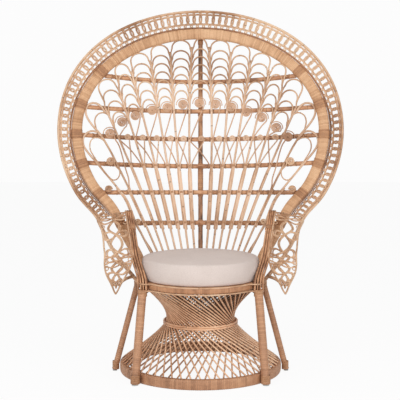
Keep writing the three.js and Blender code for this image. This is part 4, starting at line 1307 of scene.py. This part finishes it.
leg_lines = []
for name, radius, top_angle, foot_angle in (("front_leg", 0.016, -31, -43.5), ("side_leg", 0.0115, 14, -2)):
    for side, side_name in ((1, "right"), (-1, "left")):
        top, foot = leg_ends(radius, top_angle, foot_angle, side)
        leg_lines.append((top, foot, radius))
        start = (SEAT_TOP - SEAT_BOTTOM + 0.003) / (SEAT_TOP - foot[2]) if name == "front_leg" else 0
        line = top + (foot - top) * np.linspace(start, 1, 40)[:, None]
        out = np.tile((top - seat_centre) * [1, 1, 0], (40, 1))
        strips = wound(line, out, (radius * 0.955,) * 2, 0.0078, 18, False, 0.0005, 1.0)
        strips[0][:, 2] = np.maximum(strips[0][:, 2], foot[2])
        make_piece(f"wound_{name}_{side_name}", [strips], LEG_WRAP, "wrapped_cane", f"{name}_{side_name}")

TIE_STRIP = 0.0062
TIE_RISE = 0.0009


def leg_ties():
    """Level turns of flat strip that hold each leg to the base ring and to the seat ring."""
    sweeps = []
    turn = full_turn(32)
    out = np.stack([np.cos(turn), np.sin(turn), np.zeros(32)], 1)
    for top, foot, radius in leg_lines:
        for level, count in ((0.008, 5), (SEAT_BOTTOM - 0.020, 4)):
            share = (top[2] - level - 0.01) / (top[2] - foot[2])
            middle = (top + (foot - top) * share) * [1, 1, 0]
            for step in range(count):
                ring = middle + out * (radius + TIE_RISE) + [0, 0, level + step * TIE_STRIP * 1.02]
                strip = band_section(0.0006, TIE_STRIP / 2, 8)
                sweeps.append(sweep(ring, out, strip, True, 0.02 * step))
    return sweeps


make_piece("leg_ties", leg_ties(), BINDING, "wrapped_cane")
for name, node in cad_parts.items():
    if "glide" in name:
        dress(node, PLASTIC)

# Arms: bundle, folded belt with its flowers, rims and braces


HOOP_WIDTH = 0.040
HOOP_THICKNESS = 0.024


def arm_place(x_share, y_share, z_share):
    """Place by shares: x from the seat ring to the hoop's side, y of the seat's radius, z of the hoop's
    height."""
    x = SEAT_RADIUS + x_share * (HALF_WIDTH - SEAT_RADIUS)
    return seat_centre + [x, y_share * SEAT_RADIUS, SEAT_TOP + z_share * WIDE_HEIGHT]


def hoop_foot_place(along, out, forward):
    """Place by the hoop's right foot: a share of its length, of its width outwards, of its thickness
    forward."""
    return on_dish(*beside_hoop(1 - along, HOOP_WIDTH * out), HOOP_THICKNESS * forward)


TOP_INNER = hoop_foot_place(0.0929, -0.997, 1.186)
TOP_OUTER = hoop_foot_place(0.1056, 1.7275, 0.266)
BRACE_TOP = hoop_foot_place(0.0988, 1.8, 0.19)
FOLD_INNER = arm_place(0.078, -0.52, 0.192)
FOLD_OUTER = arm_place(0.45, -0.65, 0.175)
TIP_OUTER = arm_place(0.352, -0.22, -0.088)
TIP_INNER = arm_place(0.309, -0.22, -0.082)
BELT_LINES = [(TOP_INNER + [0.0143, 0, 0], TOP_OUTER), (FOLD_INNER, FOLD_OUTER), (TIP_INNER, TIP_OUTER)]
# Shares of the belt's width at which its rims run: hollow outside above the fold, a leaf below it
EDGE_CELLS = np.linspace(0, 3, 7)
RIM_CELLS = np.linspace(0, 3, 121)
RIM_SHARES = [flow(np.stack([EDGE_CELLS, edge], 1), len(RIM_CELLS))[:, 1]
              for edge in ([0, 0, 0, 0, 0, -0.2, 0], [1, 0.95, 0.93, 0.96, 1, 1.18, 1])]


def belt_edges(cells):
    """Shares of the belt's width at which its inner and its outer rim run."""
    return [np.interp(cells, RIM_CELLS, shares) for shares in RIM_SHARES]


def belt_place(across, cells):
    """Place on the belt: across from 0 to 1, cells from 0 at the hoop over 2 at the fold to 3 at its end.
    The fold is rounded by a bell curve that pushes the belt back near it."""
    across = np.asarray(across, float)[..., None]
    cells = np.asarray(cells, float)[..., None]
    top, fold, tip = [a + (b - a) * across for a, b in BELT_LINES]
    place = top + (fold - top) * np.clip(cells / 2, 0, 1) + (tip - fold) * np.clip(cells - 2, 0, 1.05)
    near = np.exp(-((cells - 2) / 0.1) ** 2)
    return place + near * np.array([0, 0.010, -0.002])


def belt_face(across, cells):
    """Direction square to the belt, from small steps across and along it."""
    across = np.asarray(across, float)
    cells = np.asarray(cells, float)
    step = 0.03
    along = belt_place(across, np.minimum(cells + step, 3)) - belt_place(across, np.maximum(cells - step, 0))
    side = belt_place(across + step, cells) - belt_place(across - step, cells)
    face = np.cross(side, along)
    return face / np.linalg.norm(face, axis=-1, keepdims=True)


def belt_cane(across, cells, radius, lift, side, closed=False):
    """Cane laid on the belt at a lift off its face, for the right arm or mirrored for the left. Across is
    taken between the rims."""
    inner, outer = belt_edges(cells)
    across = inner + (outer - inner) * across
    face = belt_face(across, cells)
    place = belt_place(across, cells) + face * np.asarray(lift, float)[..., None]
    flip = np.array([side, 1, 1])
    return cane(place * flip, radius, face * flip, 5, closed)


STRAND = 0.0028
SMALL_STRAND = 0.0018
BELT_RIMS = (0.0031, 0.0034)
BRACE_CANE = 0.0072
BRACE_TIE = 0.0034
KNOTS = [0.36, 1.04, 1.86, 2.18, 2.5, 2.88]
SWINGS = [0.22, 0.22, 0.22, 0.2, 0.22, 0.2]
# Lying eights: cells, height along the belt, reach across it, tilt
EIGHTS = [(0.3, 0.12, 0.46, 0.0), (1.04, 0.17, 0.46, 0.0), (1.86, 0.16, 0.45, 0.0), (2.47, 0.12, 0.5, 0.1),
          (2.74, 0.08, 0.42, 0.0)]
# Rows of strands: cells, sway along the belt, lift off it
ROWS = [(0.03, 0.02, 0.003), (0.11, 0.05, -0.003), (0.2, -0.06, 0.002), (2.04, 0.03, 0.002),
        (2.11, -0.04, -0.002), (2.18, 0.03, 0.003), (2.27, -0.02, -0.003)]


def lying_eight(knot, height, reach, tilt, side):
    """Two doubled loops that meet at a knot and reach towards the rims: a sine across, twice its pace
    along."""
    sweeps = []
    t = full_turn(36)
    for grow in (1.0, 0.86):
        across = 0.52 + reach * grow * np.sin(t)
        cells = np.clip(knot + height * grow * np.sin(2 * t) + tilt * np.sin(t), 0, 3)
        sweeps.append(belt_cane(across, cells, STRAND, 0.0034 * np.cos(t), side, True))
    return sweeps


def arm_flowers(side):
    """Two doubled strands that swing from side to side and cross at each knot, lying eights on the knots, and
    rows of strands with small loops at their ends by the hoop and at the fold."""
    sweeps = []
    gaps = len(KNOTS) - 1
    t = np.linspace(0, gaps, gaps * 14 + 1)
    cells = np.interp(t, np.arange(gaps + 1), KNOTS)
    wide = np.interp(t, np.arange(gaps + 1), SWINGS)
    for shift in (-0.026, 0.026):
        for sign in (-1, 1):
            across = 0.53 + sign * (wide * np.sin(np.pi * t) + shift)
            sweeps.append(belt_cane(across, cells, STRAND, 0.0026 * np.cos(np.pi * t) * sign, side))
    for eight in EIGHTS:
        sweeps += lying_eight(*eight, side)
    across = np.linspace(0.0, 1.0, 26)
    for at, sway, lift in ROWS:
        row = np.clip(at + sway * np.sin(2 * np.pi * across) * np.sign(0.3 - sway), 0, 3)
        sweeps.append(belt_cane(across, row, STRAND, lift * np.cos(3 * np.pi * across), side))
    t = full_turn(16)
    for edge in (0.075, 0.925):
        for at in (0.55, 2.0, 2.14, 2.3):
            cells = np.clip(at + 0.06 * np.sin(t), 0, 3)
            sweeps.append(belt_cane(edge + 0.065 * np.cos(t), cells, SMALL_STRAND, 0.001, side, True))
    return sweeps


def arm_lace(side):
    """Belt rims that meet in a point, flowers, the brace under the belt and the canes that tie its end to
    the brace."""
    flip = np.array([side, 1, 1])
    sweeps = arm_flowers(side)
    tip = (TIP_INNER + TIP_OUTER) / 2 + [0.001, -0.001, -0.008]
    cells = np.linspace(0, 2.96, 70)
    for across, radius in zip(belt_edges(cells), BELT_RIMS):
        line = flow(np.vstack([belt_place(across, cells), tip]), 84)
        face = even(np.vstack([belt_face(across, cells), belt_face(across[-1:], cells[-1:])]), 84)
        sweeps.append(cane(line * flip, radius, face * flip, 8))
    brace_foot = around_seat(SEAT_RADIUS + 0.0084, -12, (SEAT_TOP + SEAT_BOTTOM) / 2)
    middle = (BRACE_TOP + brace_foot) / 2 + [0.016, 0, 0]
    brace = flow([BRACE_TOP, middle, brace_foot], 24)
    sweeps.append(cane(brace * flip, BRACE_CANE, (0, 0, 1), 12))
    end = brace_foot + (middle - brace_foot) * 0.2
    start = belt_place(0.1, 2.8)
    for shift, rise in ((-0.007, 0.004), (0.0, 0.0), (0.007, -0.003)):
        halfway = (start + end) / 2 + [0, shift, 0.006 + rise]
        line = flow([start + [0, shift, 0], halfway, end + [0, shift / 2, rise]], 12)
        sweeps.append(cane(line * flip, BRACE_TIE, (0, 0, 1)))
    return sweeps


POST_ANGLE = -31
POST_FOOT = around_seat(SEAT_RADIUS + CLEAR + 0.016, POST_ANGLE, SEAT_TOP + CLEAR)
POST_SIDE = around_seat(SEAT_RADIUS + 0.0146, -3, SEAT_TOP + 0.084)
RING_OUT = np.array([math.cos(math.radians(POST_ANGLE)), math.sin(math.radians(POST_ANGLE)), 0])
POST_SPACING = 0.0122
# Canes of a bundle: how far before its middle, radius at the foot and at the head
POST_FRONT = (0.004, 0.0036, 0.0034)
POST_BACK = (-0.0036, 0.0048, 0.0040)
POST_STUB = (-0.0085, 0.005)


def post_line(along, front, count=34):
    """One cane of the bundle: up past the seat ring, by the cushion's side and to the hoop; bends are rounded
    by an average over neighbouring places. Front is how far it lies before the bundle's middle."""
    low = POST_FOOT + np.array([0.82, 0.57, 0]) * along + RING_OUT * front
    beside = POST_SIDE + [0.0035 + along * 0.82, along * 0.3 - front, 0]
    high = TOP_INNER + np.array([along * 0.6, -front * 0.8, 0])
    corners = np.array([low - [0, 0, 0.036], low, low + [0, 0, 0.012], beside, high])
    line = even(corners, 61)
    for _ in range(12):
        line[1:-1] = (line[:-2] + 2 * line[1:-1] + line[2:]) / 4
    return even(line, count)


def post_cane(side, along, front, foot, head):
    """Full-length cane of the bundle, thinner towards its head."""
    line = post_line(along, front)
    return cane(line * [side, 1, 1], np.linspace(foot, head, len(line)), (1, 0, 0), 9)


def arm_post(side):
    """Front of the bundle from the front leg up to the hoop: four canes side by side."""
    return [post_cane(side, index * POST_SPACING, *POST_FRONT) for index in (-1.5, -0.5, 0.5, 1.5)]


def arm_post_back(side):
    """Canes behind and between those of the bundle's front, and three more behind them at the foot."""
    sweeps = [post_cane(side, index * POST_SPACING, *POST_BACK) for index in (-1, 0, 1)]
    front, radius = POST_STUB
    for along in (-0.008, 0.0, 0.008):
        sweeps.append(cane(post_line(along, front)[:14] * [side, 1, 1], radius, (1, 0, 0), 8))
    return sweeps


def bundle_tie(side):
    """Turns of strip round the bundle, a little below its head."""
    line = post_line(0.0, 0.0, 60)[-16:-12]
    face = np.tile([1.0, 0, 0], (4, 1))
    return wound(line * [side, 1, 1], face, (0.0172, 0.0092), 0.0045, 16, False, 0.0003, 0.8)


for side, name in ((1, "right"), (-1, "left")):
    make_piece(f"arm_belt_{name}", arm_lace(side), HONEY, "honey_cane", f"arm_lace_{name}")
    make_piece(f"arm_bundle_{name}", arm_post(side), BUNDLE_CANE, "honey_cane", f"arm_post_{name}")
    # The back canes wear a finish painted dark as the shade between the bundle's front canes
    make_piece(f"arm_bundle_back_{name}", arm_post_back(side), SHADED_BUNDLE_CANE, "honey_cane")
make_piece("bundle_ties", [bundle_tie(1), bundle_tie(-1)], BINDING, "honey_cane")

# Cushion

CUSHION_SIDES = 72
CROWN = 0.014
TOP_EDGE = 0.010
FOOT_EDGE = 0.005
DRAWN_IN = 0.004
CUSHION_REST = 0.0002
MOST_MOVE = 0.006
CLOTH_STEPS = 20
CLOTH_SHRINK = 0.004
CUSHION_FACE = 0.0055
LOW_SEAM = 0.009
TOP_SEAM = 0.070
SEAM_HALF = 0.008
cushion_low, cushion_high = node_box("cushion")
cushion_radius = (cushion_high[0] - cushion_low[0]) / 2
cushion_height = cushion_high[2] - cushion_low[2]


def rounded(reach, height, size, angles):
    """Quarter circle of a profile about (reach, height)."""
    return [(reach + size * math.cos(angle), height + size * math.sin(angle)) for angle in angles]


def cushion_profile(shrink):
    """Half section as (radius, height): the sides swell by a sine at mid height, the edges are rounded, and
    the top rises by a square towards the middle."""
    wide = cushion_radius - shrink - DRAWN_IN
    side = cushion_height - shrink - CROWN
    inner = wide - TOP_EDGE
    profile = [(0.0, 0.0), ((cushion_radius - shrink) * 0.5, 0.0), (wide - FOOT_EDGE, 0.0)]
    profile += rounded(wide - FOOT_EDGE, FOOT_EDGE, FOOT_EDGE, np.linspace(-np.pi / 2, 0, 5)[1:])
    wall = side - TOP_EDGE - FOOT_EDGE
    profile += [(wide + DRAWN_IN * math.sin(math.pi * share), FOOT_EDGE + wall * share)
                for share in np.linspace(0, 1, 7)[1:-1]]
    profile += rounded(inner, side - TOP_EDGE, TOP_EDGE, np.linspace(0, np.pi / 2, 5))
    profile += [(inner * share, side + CROWN * (1 - share ** 2)) for share in np.linspace(1, 0, 9)[1:]]
    return np.array(profile)


def cushion_grid(shrink):
    """Closed round pad: the profile turned about the seat's middle."""
    profile = cushion_profile(shrink)
    n = CUSHION_SIDES
    turn = full_turn(n)
    body = profile[1:-1]
    reach, level = body[:, :1], np.repeat(body[:, 1:], n, 1)
    rings = np.stack([reach * np.cos(turn), reach * np.sin(turn), level], -1)
    poles = [[0, 0, profile[0, 1]], [0, 0, profile[-1, 1]]]
    points = np.vstack([rings.reshape(-1, 3), poles]) + seat_centre + [0, 0, cushion_low[2] + CUSHION_REST]
    i = np.arange(len(body) - 1)[:, None] * n
    j = np.arange(n)[None]
    beside = (j + 1) % n
    quads = np.stack(np.broadcast_arrays(i + j, i + beside, i + n + beside, i + n + j), -1)
    bottom, top, last = len(points) - 2, len(points) - 1, (len(body) - 1) * n
    ends = [(bottom, (k + 1) % n, k) for k in range(n)]
    ends += [(top, last + k, last + (k + 1) % n) for k in range(n)]
    return points, quads.reshape(-1, 4).tolist() + ends


def corners_of(piece):
    flat = np.empty(len(piece.data.vertices) * 3, np.float32)
    piece.data.vertices.foreach_get("co", flat)
    return flat.reshape(-1, 3).astype(float)


def apply_modifiers(piece):
    """Makes the modifiers' result the piece's own mesh."""
    graph = bpy.context.evaluated_depsgraph_get()
    result = bpy.data.meshes.new_from_object(piece.evaluated_get(graph), depsgraph=graph)
    piece.modifiers.clear()
    piece.data = result


def keep_in_place(points):
    """Rests the pad flat on the seat and scales its height and its reach to the solid's."""
    floor = cushion_low[2] + CUSHION_REST
    height = np.maximum(points[:, 2] - floor, 0)
    flat = points[:, :2] - seat_centre[:2]
    flat *= (cushion_radius - CUSHION_REST) / np.linalg.norm(flat, axis=1).max()
    level = floor + height * (cushion_height - 2 * CUSHION_REST) / height.max()
    return np.column_stack([seat_centre[:2] + flat, level])


def pin_seams(pad, corners):
    """Vertex group of the corners at the bottom edge and near the top edge, which the cloth step holds."""
    reach = np.linalg.norm(corners[:, :2] - seat_centre[:2], axis=1)
    height = corners[:, 2] - cushion_low[2]
    rim = reach.max() - DRAWN_IN - TOP_EDGE
    seam = (reach > rim) & ((height < LOW_SEAM) | (abs(height - TOP_SEAM) < SEAM_HALF))
    pad.vertex_groups.new(name="seams").add(np.flatnonzero(seam).tolist(), 1.0, "REPLACE")


def blow_up(pad):
    """Even faces, then a few steps of cloth under pressure, with its move capped."""
    remesh = pad.modifiers.new("even_faces", "REMESH")
    remesh.mode = "VOXEL"
    remesh.voxel_size = CUSHION_FACE
    apply_modifiers(pad)
    before = corners_of(pad)
    pin_seams(pad, before)
    cloth = pad.modifiers.new("cloth", "CLOTH").settings
    cloth.use_pressure = True
    cloth.uniform_pressure_force = 4.0
    cloth.quality = 5
    cloth.mass = 0.3
    cloth.tension_stiffness = cloth.compression_stiffness = 12
    cloth.bending_stiffness = 0.4
    cloth.effector_weights.gravity = 0
    cloth.vertex_group_mass = "seams"
    for step in range(1, CLOTH_STEPS + 1):
        bpy.context.scene.frame_set(step)
    apply_modifiers(pad)
    bpy.context.scene.frame_set(1)
    move = corners_of(pad) - before
    size = np.linalg.norm(move, axis=1)
    move *= (np.minimum(size, MOST_MOVE) / np.maximum(size, 1e-9))[:, None]
    settled = keep_in_place(before + move)
    pad.data.vertices.foreach_set("co", settled.ravel().astype(np.float32))
    pad.data.update()


def make_cushion():
    """Pad blown up as cloth from a slightly smaller shape, then smoothed once."""
    points, faces = cushion_grid(CLOTH_SHRINK)
    mesh = bpy.data.meshes.new("round_cushion")
    mesh.from_pydata(points.tolist(), [], faces)
    pad = add_object("round_cushion", mesh)
    bpy.context.view_layer.objects.active = pad
    blow_up(pad)
    finer = pad.modifiers.new("finer", "SUBSURF")
    finer.levels = finer.render_levels = 1
    apply_modifiers(pad)
    pad.data.polygons.foreach_set("use_smooth", np.ones(len(pad.data.polygons), bool))
    dress(pad, CANVAS)
    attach(pad, "cushion")
    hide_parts("cushion")


make_cushion()
